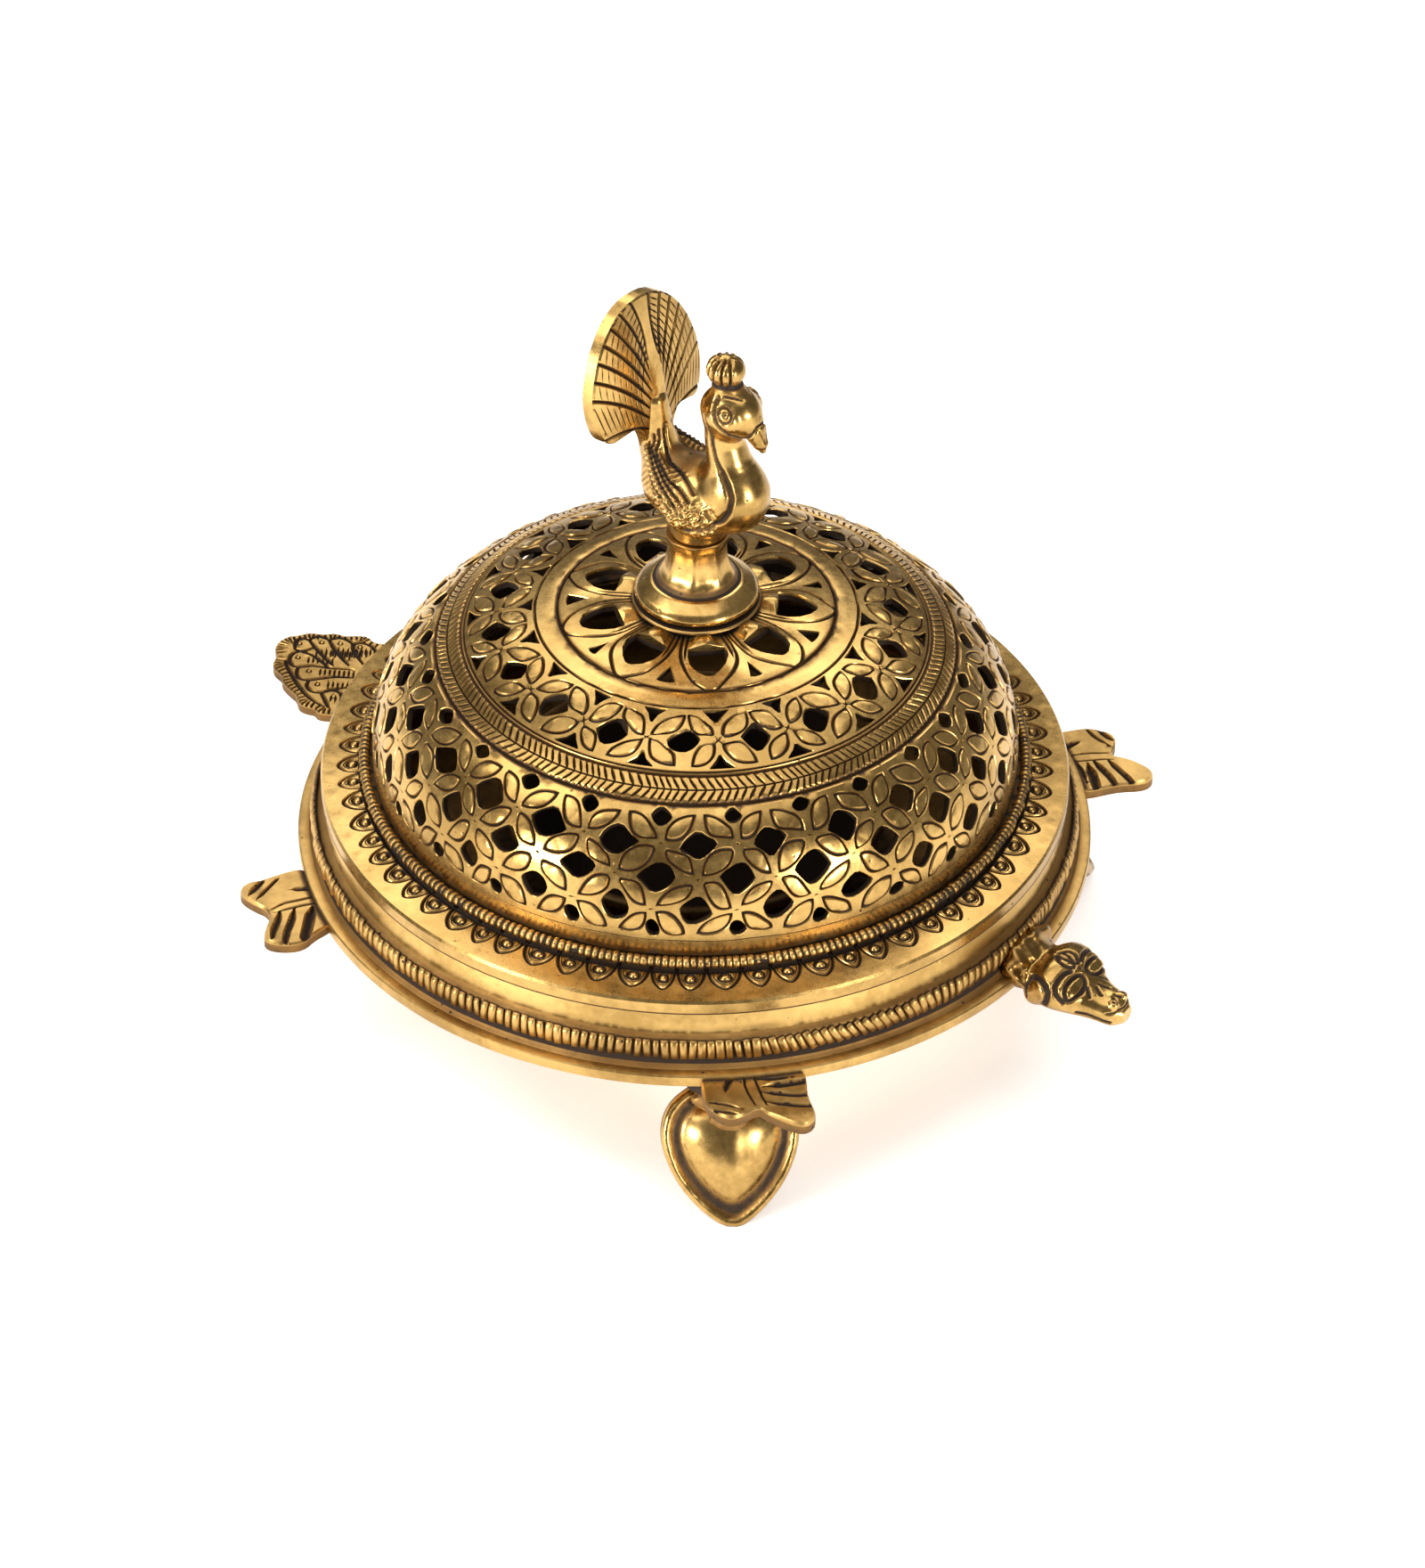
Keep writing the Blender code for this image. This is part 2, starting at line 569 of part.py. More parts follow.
base_dish()
milled_band()
shell_plate()
head()
tail_fan()
for side, hand in ((1, "left"), (-1, "right")):
    flipper("flipper_front_" + hand, FRONT_FLIPPER_AT, FRONT_OUTLINE, side, (-6.6, 7.2))
    flipper("flipper_rear_" + hand, REAR_FLIPPER_AT, REAR_OUTLINE, side, (-5.6, 7.3))
for foot_name, at in FOOT_ANGLES.items():
    foot(foot_name, at)
lid_dome()
lid_flange()
rope_ring()
lid_spigot()
ring_washer("finial_washer_top", 0.17 * RIM_R, DOME_TOP + GAP, DOME_TOP + GAP + 0.0008)
finial_pedestal()
peacock()
ring_washer("finial_washer_inner", 0.0070, WASHER_TOP - 0.0010, WASHER_TOP)
finial_nut()
ember_cup()
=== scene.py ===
"""Looks of a brass incense burner: a tortoise under a pierced dome with a peacock on top.

The sections follow the burner as it is put together: the tortoise and its dish,
the loose cup, then the lid from its rim up to the peacock, and last the studio.
"""
import math

import bmesh
import bpy
import numpy as np
from mathutils import Matrix, Vector, geometry


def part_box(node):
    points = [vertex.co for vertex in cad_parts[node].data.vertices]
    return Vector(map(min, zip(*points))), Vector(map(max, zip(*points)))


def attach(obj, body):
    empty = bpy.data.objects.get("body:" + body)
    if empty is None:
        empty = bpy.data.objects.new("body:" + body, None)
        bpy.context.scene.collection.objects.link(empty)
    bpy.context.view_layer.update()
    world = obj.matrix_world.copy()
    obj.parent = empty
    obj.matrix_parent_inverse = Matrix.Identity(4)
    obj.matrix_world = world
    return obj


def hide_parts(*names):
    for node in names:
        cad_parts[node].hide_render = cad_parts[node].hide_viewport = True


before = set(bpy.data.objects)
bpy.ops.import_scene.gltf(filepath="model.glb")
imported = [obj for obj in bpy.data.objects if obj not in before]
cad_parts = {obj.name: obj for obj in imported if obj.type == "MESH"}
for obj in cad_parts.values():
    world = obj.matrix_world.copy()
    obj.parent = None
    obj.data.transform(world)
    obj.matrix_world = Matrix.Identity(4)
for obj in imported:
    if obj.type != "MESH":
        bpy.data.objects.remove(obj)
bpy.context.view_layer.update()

# Dish: a spun brass bowl with a flared wall, a shoulder that sits on the shell plate and a round
# belly below. It was turned bright, then let go dull; solder and soot stay in its corners.

MM = 0.001
PLAIN_TAN = (0.44, 0.265, 0.078, 1.0)
PLAIN_GOLD = (0.72, 0.455, 0.150, 1.0)
RUST = (0.20, 0.078, 0.018, 1.0)
UMBER = (0.030, 0.0155, 0.0065, 1.0)
DEEPEST_MARK = 0.00022  # metres that the bump stands for


class Term:
    """A socket in a node tree. A sum written with it adds its Math nodes to that tree."""

    def __init__(self, tree, socket=None):
        self.tree, self.socket = tree, socket

    def node(self, kind, settings=None, sockets=None, out=0):
        """Adds a node: its settings first, then the values or links of its sockets."""
        made = self.tree.nodes.new(kind)
        for name, value in (settings or {}).items():
            setattr(made, name, value)
        for name, value in (sockets or {}).items():
            if isinstance(value, Term):
                self.tree.links.new(value.socket, made.inputs[name])
            else:
                made.inputs[name].default_value = value
        return Term(self.tree, made.outputs[out] if len(made.outputs) else None)

    def math(self, operation, *others):
        return self.node("ShaderNodeMath", {"operation": operation},
                         dict(enumerate((self, *others))))

    def __add__(self, other):
        return self.math("ADD", other)

    def __sub__(self, other):
        return self.math("SUBTRACT", other)

    def __rsub__(self, other):
        return self * -1.0 + other

    def __mul__(self, other):
        return self.math("MULTIPLY", other)

    __radd__, __rmul__ = __add__, __mul__

    def between(self, low, high):
        """0 up to low, 1 from high on, and a smooth step from one to the other."""
        return self.node("ShaderNodeMapRange", {"interpolation_type": "SMOOTHSTEP"},
                         {"Value": self, "From Min": low, "From Max": high})

    def pick(self, first, second):
        """The colour that lies this far from first to second."""
        return self.node("ShaderNodeMix", {"data_type": "RGBA"},
                         {0: self, 6: first, 7: second}, out=2)


def brass(name, tan, gold, gloss, pitting, dents, grime=0.0):
    """Aged brass: gold where rubbed, tan where dull, dark where the patina attribute says so."""
    finish = bpy.data.materials.new(name)
    finish.use_nodes = True
    tree = finish.node_tree
    tree.nodes.clear()
    start = Term(tree)
    place = start.node("ShaderNodeTexCoord", out=3)
    patina_and_shade = start.node("ShaderNodeAttribute", {"attribute_name": "patina_and_shade"}, out=2)

    def noise(scale, detail=3.0, roughness=0.55):
        return start.node("ShaderNodeTexNoise", sockets={
            "Vector": place, "Scale": scale, "Detail": detail, "Roughness": roughness})

    cloud, smudge = noise(38.0), noise(210.0, 5.0, 0.65)
    grain, mottle = noise(1900.0, 2.0), noise(620.0, 4.0, 0.6)
    cells = start.node("ShaderNodeTexVoronoi",
                       sockets={"Vector": place, "Scale": 430.0, "Randomness": 1.0})
    pits = (1 - cells.between(0.06, 0.16)) * smudge.between(0.50, 0.66) * pitting
    hammer = start.node("ShaderNodeTexVoronoi", {"feature": "SMOOTH_F1"},
                        {"Vector": place, "Scale": 330.0, "Smoothness": 0.6})
    # The attribute holds the patina, and on the head and the peacock also painted shade where faces
    # look down.
    soil_and_shade = patina_and_shade + (smudge - 0.5) * 0.34 + (mottle - 0.5) * 0.22 + pits * 0.75 + grime
    dark = soil_and_shade.between(0.30, 0.74)
    brown = soil_and_shade.between(0.10, 0.42)
    rubbed = (cloud * 0.72 + mottle * 0.28).between(0.38, 0.62)
    metal_colour = rubbed.pick(tan, gold)
    colour = dark.pick((brown * 0.62).pick(metal_colour, RUST), UMBER)
    rough = (1 - gloss) + (mottle - 0.5) * 0.16 + (grain - 0.5) * 0.08
    rough = rough + brown * 0.16 + dark * 0.22
    height = grain * 0.07 + mottle * 0.12 - pits * 0.9 - dark * mottle * 0.5 + hammer * dents
    bump = start.node("ShaderNodeBump",
                      sockets={"Strength": 0.42, "Distance": DEEPEST_MARK, "Height": height})
    shader = start.node("ShaderNodeBsdfPrincipled", sockets={
        "Base Color": colour, "Roughness": rough, "Metallic": 1 - dark * 0.62, "Normal": bump})
    start.node("ShaderNodeOutputMaterial", sockets={"Surface": shader})
    return finish


def metalwork(name, points, faces, patina_and_shade, finish, crease=32.0):
    """A mesh object from its points, its faces and the patina at each point."""
    mesh = bpy.data.meshes.new(name)
    mesh.from_pydata(np.asarray(points, float).tolist(), [], faces)
    marks = mesh.attributes.new("patina_and_shade", "FLOAT", "POINT")
    marks.data.foreach_set("value", np.asarray(patina_and_shade, np.float32))
    mesh.materials.append(finish)
    mesh.shade_smooth()
    mesh.set_sharp_from_angle(angle=math.radians(crease))
    mesh.update()
    piece = bpy.data.objects.new(name, mesh)
    bpy.context.scene.collection.objects.link(piece)
    return piece


def hand_wave(x, y, seed):
    """Slow waves of about -1 to 1, as hand work wanders; x in radians, y in mm."""
    a, b, c = (math.sin(seed * k) * math.pi for k in (1.7, 2.9, 4.3))
    waves = np.sin(3 * x + a + 0.11 * y) + np.sin(7 * x + b - 0.23 * y)
    return (waves + np.sin(13 * x + c + 0.31 * y)) / 3


def soften(corners, steps=4):
    """Rounds the corners of a profile of (r, z, radius, patina) in mm: (r, z, patina) rows."""
    rows, count = [], len(corners)
    for k, (r, z, bend, dark) in enumerate(corners):
        before, after = corners[k - 1], corners[(k + 1) % count]
        here = np.array((r, z), float)
        one, two = (np.array(p[:2], float) - here for p in (before, after))
        reach = min(bend, 0.45 * np.hypot(*one), 0.45 * np.hypot(*two))
        if reach < 0.02:  # a sharp corner
            rows.append((r, z, dark))
            continue
        one, two = here + one / np.hypot(*one) * reach, here + two / np.hypot(*two) * reach
        for t in np.linspace(0, 1, steps):
            point = (1 - t) ** 2 * one + 2 * t * (1 - t) * here + t * t * two
            rows.append((point[0], point[1], dark))
    return rows


def turned(name, rows, finish, around=180, wobble=0.0, seed=1.0):
    """A turned solid: closed rows of (r, z, patina) in mm, spun round the upright axis."""
    rows = np.array(rows, float)
    turn = np.arange(around) * 2 * math.pi / around
    off_axis = rows[:, None, 0] > 0.01
    r = rows[:, None, 0] + wobble * hand_wave(turn[None, :], rows[:, None, 1], seed) * off_axis
    z = np.repeat(rows[:, 1:2], around, 1)
    points = np.stack([r * np.cos(turn), r * np.sin(turn), z], 2).reshape(-1, 3) * MM
    count = len(rows)
    faces = [(i * around + j, i * around + (j + 1) % around,
              (i + 1) % count * around + (j + 1) % around, (i + 1) % count * around + j)
             for i in range(count) for j in range(around)
             if max(rows[i, 0], rows[(i + 1) % count, 0]) > 1e-6]
    piece = metalwork(name, points, faces, np.repeat(rows[:, 2], around), finish)
    weld(piece)
    return piece


def weld(piece, crease=32.0):
    """Closes seams and poles, and turns every face outwards."""
    body = bmesh.new()
    body.from_mesh(piece.data)
    bmesh.ops.remove_doubles(body, verts=body.verts, dist=0.002 * MM)
    bmesh.ops.dissolve_degenerate(body, dist=1e-9, edges=body.edges)
    bmesh.ops.recalc_face_normals(body, faces=body.faces)
    body.to_mesh(piece.data)
    body.free()
    piece.data.shade_smooth()
    piece.data.set_sharp_from_angle(angle=math.radians(crease))


dish_low, dish_high = (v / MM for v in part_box("base_dish"))
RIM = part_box("lid_flange")[1].x / MM
MOUTH = 0.985 * RIM
SHEET = 1.4
BELLY = 62.0
LARGE_ROUND = 256
plain_brass = brass("plain_brass", PLAIN_TAN, PLAIN_GOLD, gloss=0.66, pitting=0.9, dents=0.05)
belly_curve = [(38 + 24 * math.sin(a), dish_low.z + 13 * (1 - math.cos(a)), 0.0)
               for a in np.radians(np.arange(0, 91, 7.5))]
inner_curve = [(r - SHEET, z + SHEET, 0.40 + 0.25 * (r < 40)) for r, z, _ in belly_curve[::-1]]
dish_rows = [
    (0, dish_low.z, 0.1), (20, dish_low.z, 0.1), *belly_curve, (BELLY, 29.4, 0.9),
    (RIM - 0.4, 29.5, 0.9), (RIM - 0.1, 29.8, 0.9), (RIM - 0.1, 34.2, 0.5), (RIM - 0.2, 34.5, 0.35),
    (RIM - 0.25, 34.8, 0.08), (RIM - 0.35, 36.0, 0.0), (RIM - 0.55, 37.2, 0.0),
    (MOUTH + 0.12, 38.2, 0.0), (MOUTH + 0.05, 38.5, 0.05), (MOUTH, 38.65, 0.9),
    (MOUTH - 0.15, dish_high.z, 1.0), (MOUTH - SHEET, dish_high.z, 0.2),
    (MOUTH - SHEET - 0.1, 38.7, 0.3), (RIM - SHEET - 0.1, 34.5, 0.3),
    (RIM - SHEET - 0.1, 31.2, 0.6), (RIM - SHEET - 0.5, 30.9, 0.5), (BELLY - SHEET, 30.9, 0.38),
    *inner_curve, (0, dish_low.z + SHEET, 0.5)]
dish = turned("dish", dish_rows, plain_brass, around=LARGE_ROUND, wobble=0.03)
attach(dish, "base")
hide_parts("base_dish")

# Shell plate: a sand-cast ring brazed under the dish's shoulder. It stands out a few millimetres
# beyond the band and carries the head, tail and flippers. Its edge is worn round.

AGED_TAN = (0.37, 0.220, 0.068, 1.0)
AGED_GOLD = (0.64, 0.400, 0.130, 1.0)
aged_brass = brass("aged_brass", AGED_TAN, AGED_GOLD, gloss=0.62, pitting=1.0, dents=0.22,
                   grime=0.05)
plate_low, plate_high = (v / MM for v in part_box("shell_plate"))
PLATE_EDGE, PLATE_HOLE = plate_high.x, 62.3
plate = turned("shell_plate_ring", soften([
    (PLATE_HOLE, plate_low.z, 0.2, 0.7), (PLATE_HOLE + 4, plate_low.z, 0, 0.5),
    (PLATE_EDGE - 0.6, plate_low.z, 0, 0.25), (PLATE_EDGE, plate_low.z, 0.9, 0.1),
    (PLATE_EDGE, plate_high.z, 0.9, 0.0), (PLATE_EDGE - 1.3, plate_high.z, 0, 0.1),
    (RIM + 2.3, plate_high.z, 0, 0.3), (RIM, plate_high.z, 0, 0.5),
    (PLATE_HOLE, plate_high.z, 0.2, 0.8)]), aged_brass, around=LARGE_ROUND, wobble=0.10, seed=3.0)
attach(plate, "base")
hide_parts("shell_plate")

# Milled band: a half-round brass strip wrapped round the foot of the wall and soldered on. Its ribs
# were filed across by hand, so they differ in width, lean and height, and solder runs along it.

BAND_RIBS = 274
BAND_SEED = 7
RIB_WIDE, RIB_TALL, RIB_DEEP = 1.54, 2.15, 1.05
BENT_STRETCH = 0.62  # radians from ahead to the right, where the ribs lie over
band_low, band_high = (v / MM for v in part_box("milled_band"))
BAND_MIDDLE = (band_low.z + band_high.z) / 2
BAND_BACK = RIM + 0.2
band_core = turned("milled_band_core", soften([
    (BAND_BACK, plate_high.z - 0.1, 0, 0.4), (BAND_BACK + 2.5, plate_high.z - 0.1, 0, 0.22),
    (BAND_BACK + 1.9, plate_high.z + 0.4, 0.5, 0.35), (BAND_BACK + 1.4, band_low.z - 0.3, 0.4, 0.72),
    (BAND_BACK + 1.15, BAND_MIDDLE - 0.9, 0.5, 0.75), (BAND_BACK + 1.15, BAND_MIDDLE + 0.9, 0.5, 0.75),
    (BAND_BACK + 0.55, band_high.z, 0.4, 0.35), (RIM - 0.45, band_high.z + 0.6, 0.1, 0.18),
    (RIM - 0.6, band_high.z, 0, 0.4)]), aged_brass, around=LARGE_ROUND, wobble=0.16, seed=5.0)
rib_outline = [(-0.5, 0.0), (-0.46, 0.72), (-0.28, 1.0), (0.28, 1.0), (0.46, 0.72), (0.5, 0.0)]
rib_stations = [(-1.0, 0.30), (-0.72, 0.80), (0.0, 1.0), (0.72, 0.80), (1.0, 0.30)]


def rib_pattern(name, width, tall, deep, finish):
    """One rib: x stands out from the wall, y runs round it and z is up, in mm."""
    points, marks, faces, across = [], [], [], len(rib_outline)
    for up, size in rib_stations:
        for side, out in rib_outline:
            points.append((deep * out * size * MM, width * side * MM, up * tall * MM))
            marks.append(0.9 * (1 - out) + 0.5 * (1 - size) - 0.08)
    for i in range(len(rib_stations) - 1):
        faces += [(i * across + j, i * across + (j + 1) % across,
                   (i + 1) * across + (j + 1) % across, (i + 1) * across + j) for j in range(across)]
    faces += [tuple(range(across))[::-1], tuple(range(len(points) - across, len(points)))]
    piece = metalwork(name, points, faces, marks, finish, 60.0)
    weld(piece, 60.0)
    return piece


def baked_nodes(holder, name, finish):
    """The plain mesh that an object's Geometry Nodes give, as a new object; the holder goes."""
    shape = holder.evaluated_get(bpy.context.evaluated_depsgraph_get())
    mesh = bpy.data.meshes.new_from_object(shape)
    tree = holder.modifiers[0].node_group
    bpy.data.objects.remove(holder)
    bpy.data.node_groups.remove(tree)
    mesh.name = name
    mesh.materials.clear()
    mesh.materials.append(finish)
    piece = bpy.data.objects.new(name, mesh)
    bpy.context.scene.collection.objects.link(piece)
    mesh.shade_smooth()
    mesh.set_sharp_from_angle(angle=math.radians(60.0))
    return piece


def round_the_axis(name, pattern, finish, inputs, build):
    """Runs a Geometry Nodes tree on pattern; build(tree, pattern, inputs) gives its geometry."""
    tree = bpy.data.node_groups.new(name + "_nodes", "GeometryNodeTree")
    face = tree.interface
    face.new_socket("Geometry", in_out="INPUT", socket_type="NodeSocketGeometry")
    face.new_socket("Geometry", in_out="OUTPUT", socket_type="NodeSocketGeometry")
    keys = {}
    for label, value in inputs.items():
        kind = "NodeSocketInt" if isinstance(value, int) else "NodeSocketFloat"
        keys[label] = face.new_socket(label, in_out="INPUT", socket_type=kind).identifier
    inlet = tree.nodes.new("NodeGroupInput")
    ends = {label: Term(tree, inlet.outputs[label]) for label in inputs}
    shape = build(Term(tree), Term(tree, inlet.outputs["Geometry"]), ends)
    solid = shape.node("GeometryNodeRealizeInstances", sockets={"Geometry": shape})
    painted = solid.node("GeometryNodeSetMaterial", sockets={"Geometry": solid, "Material": finish})
    outlet = tree.nodes.new("NodeGroupOutput")
    tree.links.new(painted.socket, outlet.inputs["Geometry"])
    step = pattern.modifiers.new(name, "NODES")
    step.node_group = tree
    for label, value in inputs.items():
        step[keys[label]] = value
    bpy.context.view_layer.update()
    return baked_nodes(pattern, name, finish)


def ribs_round(start, rib, ends):
    """Ribs on a circle of the named radius, each with its own width, lean and reach."""
    ring = start.node("GeometryNodeMeshCircle",
                      sockets={"Vertices": ends["Ribs"], "Radius": ends["Radius"]})
    number = start.node("GeometryNodeInputIndex")

    def chance(low, high, shift):
        seed = ends["Seed"] + shift
        return start.node("FunctionNodeRandomValue", {"data_type": "FLOAT"},
                          {2: low, 3: high, "ID": number, "Seed": seed}, out=1)

    place = start.node("GeometryNodeInputPosition")
    x, y = (place.node("ShaderNodeSeparateXYZ", sockets={0: place}, out=k) for k in (0, 1))
    heading = y.math("ARCTAN2", x)
    bent = heading + BENT_STRETCH
    lean = chance(-0.10, 0.10, 1) + ends["Lean"] * bent.between(-0.35, 0.05) * (
        1 - bent.between(0.10, 0.45))
    turn = start.node("ShaderNodeCombineXYZ", sockets={0: lean, 1: 0.0, 2: heading})
    width = start.node("ShaderNodeCombineXYZ", sockets={
        0: chance(0.80, 1.15, 2), 1: chance(0.72, 1.06, 3), 2: chance(0.84, 1.04, 4)})
    raised = start.node("ShaderNodeCombineXYZ", sockets={0: 0.0, 1: 0.0, 2: ends["Height"]})
    moved = start.node("GeometryNodeSetPosition", sockets={"Geometry": ring, "Offset": raised})
    return moved.node("GeometryNodeInstanceOnPoints", sockets={
        "Points": moved, "Instance": rib, "Rotation": turn, "Scale": width})


band_rib = rib_pattern("band_rib", RIB_WIDE, RIB_TALL, RIB_DEEP, aged_brass)
band = round_the_axis("milled_band_ribs", band_rib, aged_brass, {
    "Ribs": BAND_RIBS, "Radius": (BAND_BACK + 0.92) * MM, "Height": BAND_MIDDLE * MM,
    "Seed": BAND_SEED, "Lean": 0.55}, ribs_round)
for strip in (band_core, band):
    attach(strip, "base")
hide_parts("milled_band")

# Tail and flippers: flat castings brazed to the plate's edge, with feathers and webs cut by chisel.
# Their ends are rubbed bright and their lines hold dark wax. Outlines are in mm, x ahead, y left.

LIMB_EDGE = (0.32, 0.34)
LIMB_THICK = 2.2
LIMB_HALF = 12.0
limb_low, limb_high = (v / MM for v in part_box("flipper_front_left"))
LIMB_ROOT = 71.2


def path(*points):
    """A line or outline as an array of its points."""
    return np.array(points, float)


def stroke(points, wide, deep, ends=(0.3, 0.3), closed=False, fine=0.7):
    """An engraved line in mm: its path, its half width along it, its depth, and if it closes."""
    points = np.asarray(points, float)
    if closed:
        points = np.vstack([points, points[:1]])
    run = np.concatenate([[0], np.cumsum(np.hypot(*np.diff(points, axis=0).T))])
    count = max(2, int(round(run[-1] / fine)) + 1)
    at = np.linspace(0, run[-1], count)
    line = np.stack([np.interp(at, run, points[:, k]) for k in (0, 1)], 1)
    if not closed and count > 4:
        line[1:-1] = (line[:-2] + 2 * line[1:-1] + line[2:]) / 4
    t = np.linspace(0, 1, count)
    width = np.full(count, wide / 2)
    if not closed:
        first, last = ends[0] + t * 4 * (1 - ends[0]), ends[1] + (1 - t) * 4 * (1 - ends[1])
        width *= np.minimum(1, np.minimum(first, last))
    return line, width, deep, closed


def inside(points, loop):
    """Which points lie in a closed loop."""
    found = np.zeros(len(points), bool)
    for (x0, y0), (x1, y1) in zip(loop, np.roll(loop, -1, 0)):
        if y0 != y1:
            found ^= ((points[:, 1] < y0) != (points[:, 1] < y1)) & (
                points[:, 0] < x0 + (points[:, 1] - y0) * (x1 - x0) / (y1 - y0))
    return found


def line_depth(points, strokes, spread):
    """How deep the strokes cut at each point, and how dark they leave it."""
    depth, dark = np.zeros(len(points)), np.zeros(len(points))
    scale = spread(points[:, 1])[:, None]
    for line, width, deep, _ in strokes:
        a, b = line[:-1], line[1:]
        along = np.stack([(b - a)[:, 0] * scale, (b - a)[:, 1] + 0 * scale], 2)
        away = np.stack([(points[:, None, 0] - a[:, 0]) * scale, points[:, None, 1] - a[:, 1]], 2)
        t = np.clip((along * away).sum(2) / ((along ** 2).sum(2) + 1e-12), 0, 1)
        gap = np.hypot(*np.moveaxis(away - along * t[:, :, None], 2, 0))
        half = width[:-1] + (width[1:] - width[:-1]) * t
        bite = np.clip(1 - gap / np.maximum(half, 1e-6), 0, 1).max(1)
        depth = np.maximum(depth, bite * deep)
        dark = np.maximum(dark, np.clip(bite * 2.2, 0, 1))
    return depth, dark


def sheet_mesh(outline, holes, strokes, place, thick, step, spread=None, period=None, bosses=(),
               relief=None, edge=(0.12, 0.14), soot=1.0, walls=((0.0, 0.12), (0.28, 0.85))):
    """Points, faces and patina of a chased and pierced sheet.

    It is laid out flat in mm, cut into triangles along every line, then put in its place
    by place(u, v, depth). A sheet with a period has open sides, to repeat along u. Its edge
    is rounded by edge (out, down), and walls give a depth and patina for each row below it."""
    spread = spread or (lambda v: np.ones_like(v))
    verts, edges = [], []

    def chain(points, closed):
        first = len(verts)
        verts.extend(points.tolist())
        edges.extend((first + k, first + k + 1) for k in range(len(points) - 1))
        if closed:
            edges.append((first + len(points) - 1, first))

    chain(outline, True)
    for hole in holes:
        chain(hole, True)
    for line, width, _, closed in strokes:
        scale = spread(line[:, 1])
        flat = np.stack([line[:, 0] * scale, line[:, 1]], 1)
        lead = np.gradient(flat, axis=0)
        if closed:
            lead[0] = lead[-1] = flat[1] - flat[-2]
        lead /= np.hypot(*lead.T)[:, None] + 1e-12
        side = np.stack([-lead[:, 1] / scale, lead[:, 0]], 1) * width[:, None]
        if closed:
            for ring in (line, line + side, line - side):
                chain(ring[:-1], True)
        else:
            chain(line, False)
            chain(np.vstack([line + side, (line - side)[::-1]]), True)
    for centre, radius, _ in bosses:
        t = np.arange(10) * 2 * math.pi / 10
        for share in (1.0, 0.72, 0.4):
            ring = np.stack([np.cos(t) / spread(np.array([centre[1]])), np.sin(t)], 1)
            chain(centre + share * radius * ring, True)
    fixed = np.array(verts)
    low, high = outline.min(0), outline.max(0)
    across, rows = ((high - low) / step).astype(int) + 1
    filler = np.array([(low[0] + (i + 0.5 * (j % 2) + 0.25) * step, low[1] + (j + 0.5) * step)
                       for j in range(rows) for i in range(across)])
    near = np.hypot(*np.moveaxis(filler[:, None] - fixed[None], 2, 0)).min(1)
    verts.extend(filler[near > 0.4 * step].tolist())
    flat, _, faces, *_ = geometry.delaunay_2d_cdt(
        [Vector(p) for p in verts], edges, [], 0, 1e-5, False)
    flat = np.array([tuple(p) for p in flat])
    faces = np.array([f for f in faces if len(f) == 3])
    middle = flat[faces].mean(1)
    keep = inside(middle, outline)
    for hole in holes:
        keep &= ~inside(middle, hole)
    a, b, c = (flat[faces[:, k]] for k in range(3))
    area = (b - a)[:, 0] * (c - a)[:, 1] - (b - a)[:, 1] * (c - a)[:, 0]
    faces[area < 0] = faces[area < 0][:, ::-1]
    faces = faces[keep & (abs(area) > 1e-7)]
    used, faces = np.unique(faces, return_inverse=True)
    flat, faces = flat[used], faces.reshape(-1, 3)
    count = len(flat)
    sides = np.concatenate([faces[:, [0, 1]], faces[:, [1, 2]], faces[:, [2, 0]]])
    twins = set(map(tuple, sides.tolist()))
    rim = [e for e in twins if (e[1], e[0]) not in twins]
    if period:
        half = period / 2 - 1e-3
        rim = [e for e in rim if not (abs(flat[e[0], 0]) > half and abs(flat[e[1], 0]) > half
                                      and flat[e[0], 0] * flat[e[1], 0] > 0)]
    out = np.zeros((count, 2))
    for a, b in rim:
        run = (flat[b] - flat[a]) * (spread(flat[a, 1:2])[0], 1)
        run /= np.hypot(*run) + 1e-12
        out[a] += (run[1], -run[0])
        out[b] += (run[1], -run[0])
    if period:
        right = np.nonzero(flat[:, 0] > half)[0]
        for k in np.nonzero(flat[:, 0] < -half)[0]:
            twin = right[np.argmin(abs(flat[right, 1] - flat[k, 1]))]
            out[k] = out[twin] = out[k] + out[twin]
            flat[twin, 1] = flat[k, 1]
    size = np.hypot(*out.T)[:, None]
    out = np.where(size > 1e-9, out / np.maximum(size, 1e-9), 0)
    depth, dark = line_depth(flat, strokes, spread)
    for centre, radius, tall in bosses:
        away = (flat[:, 0] - centre[0]) * spread(flat[:, 1]), flat[:, 1] - centre[1]
        away = np.hypot(*away) / radius
        depth -= tall * np.sqrt(np.clip(1 - away ** 2, 0, 1))
        dark *= np.clip(away, 0, 1) ** 2
    if relief:
        rise, tone = relief(flat[:, 0], flat[:, 1])
        depth, dark = depth - rise, np.clip(dark + tone, 0, 1)
    shift = out / np.stack([spread(flat[:, 1]), np.ones(count)], 1) * edge[0]
    low = flat + shift
    rim_points = sorted({k for e in rim for k in e})
    slot_of = {k: n for n, k in enumerate(rim_points)}
    points = [place(flat[:, 0], flat[:, 1], depth)]
    marks = [dark]
    n = len(rim_points)
    for row, tone in walls:
        points.append(place(low[rim_points, 0], low[rim_points, 1], np.full(n, edge[1] + row)))
        marks.append(np.full(n, tone * soot))
    points.append(place(low[:, 0], low[:, 1], np.full(count, float(thick))))
    marks.append(np.full(count, soot))
    below = count + 2 * n
    solid = faces.tolist() + (faces[:, ::-1] + below).tolist()
    for a, b in rim:
        i, j = slot_of[a], slot_of[b]
        solid += [(b, a, count + i, count + j),
                  (count + j, count + i, count + n + i, count + n + j),
                  (count + n + j, count + n + i, below + a, below + b)]
    return np.vstack(points), solid, np.concatenate(marks)


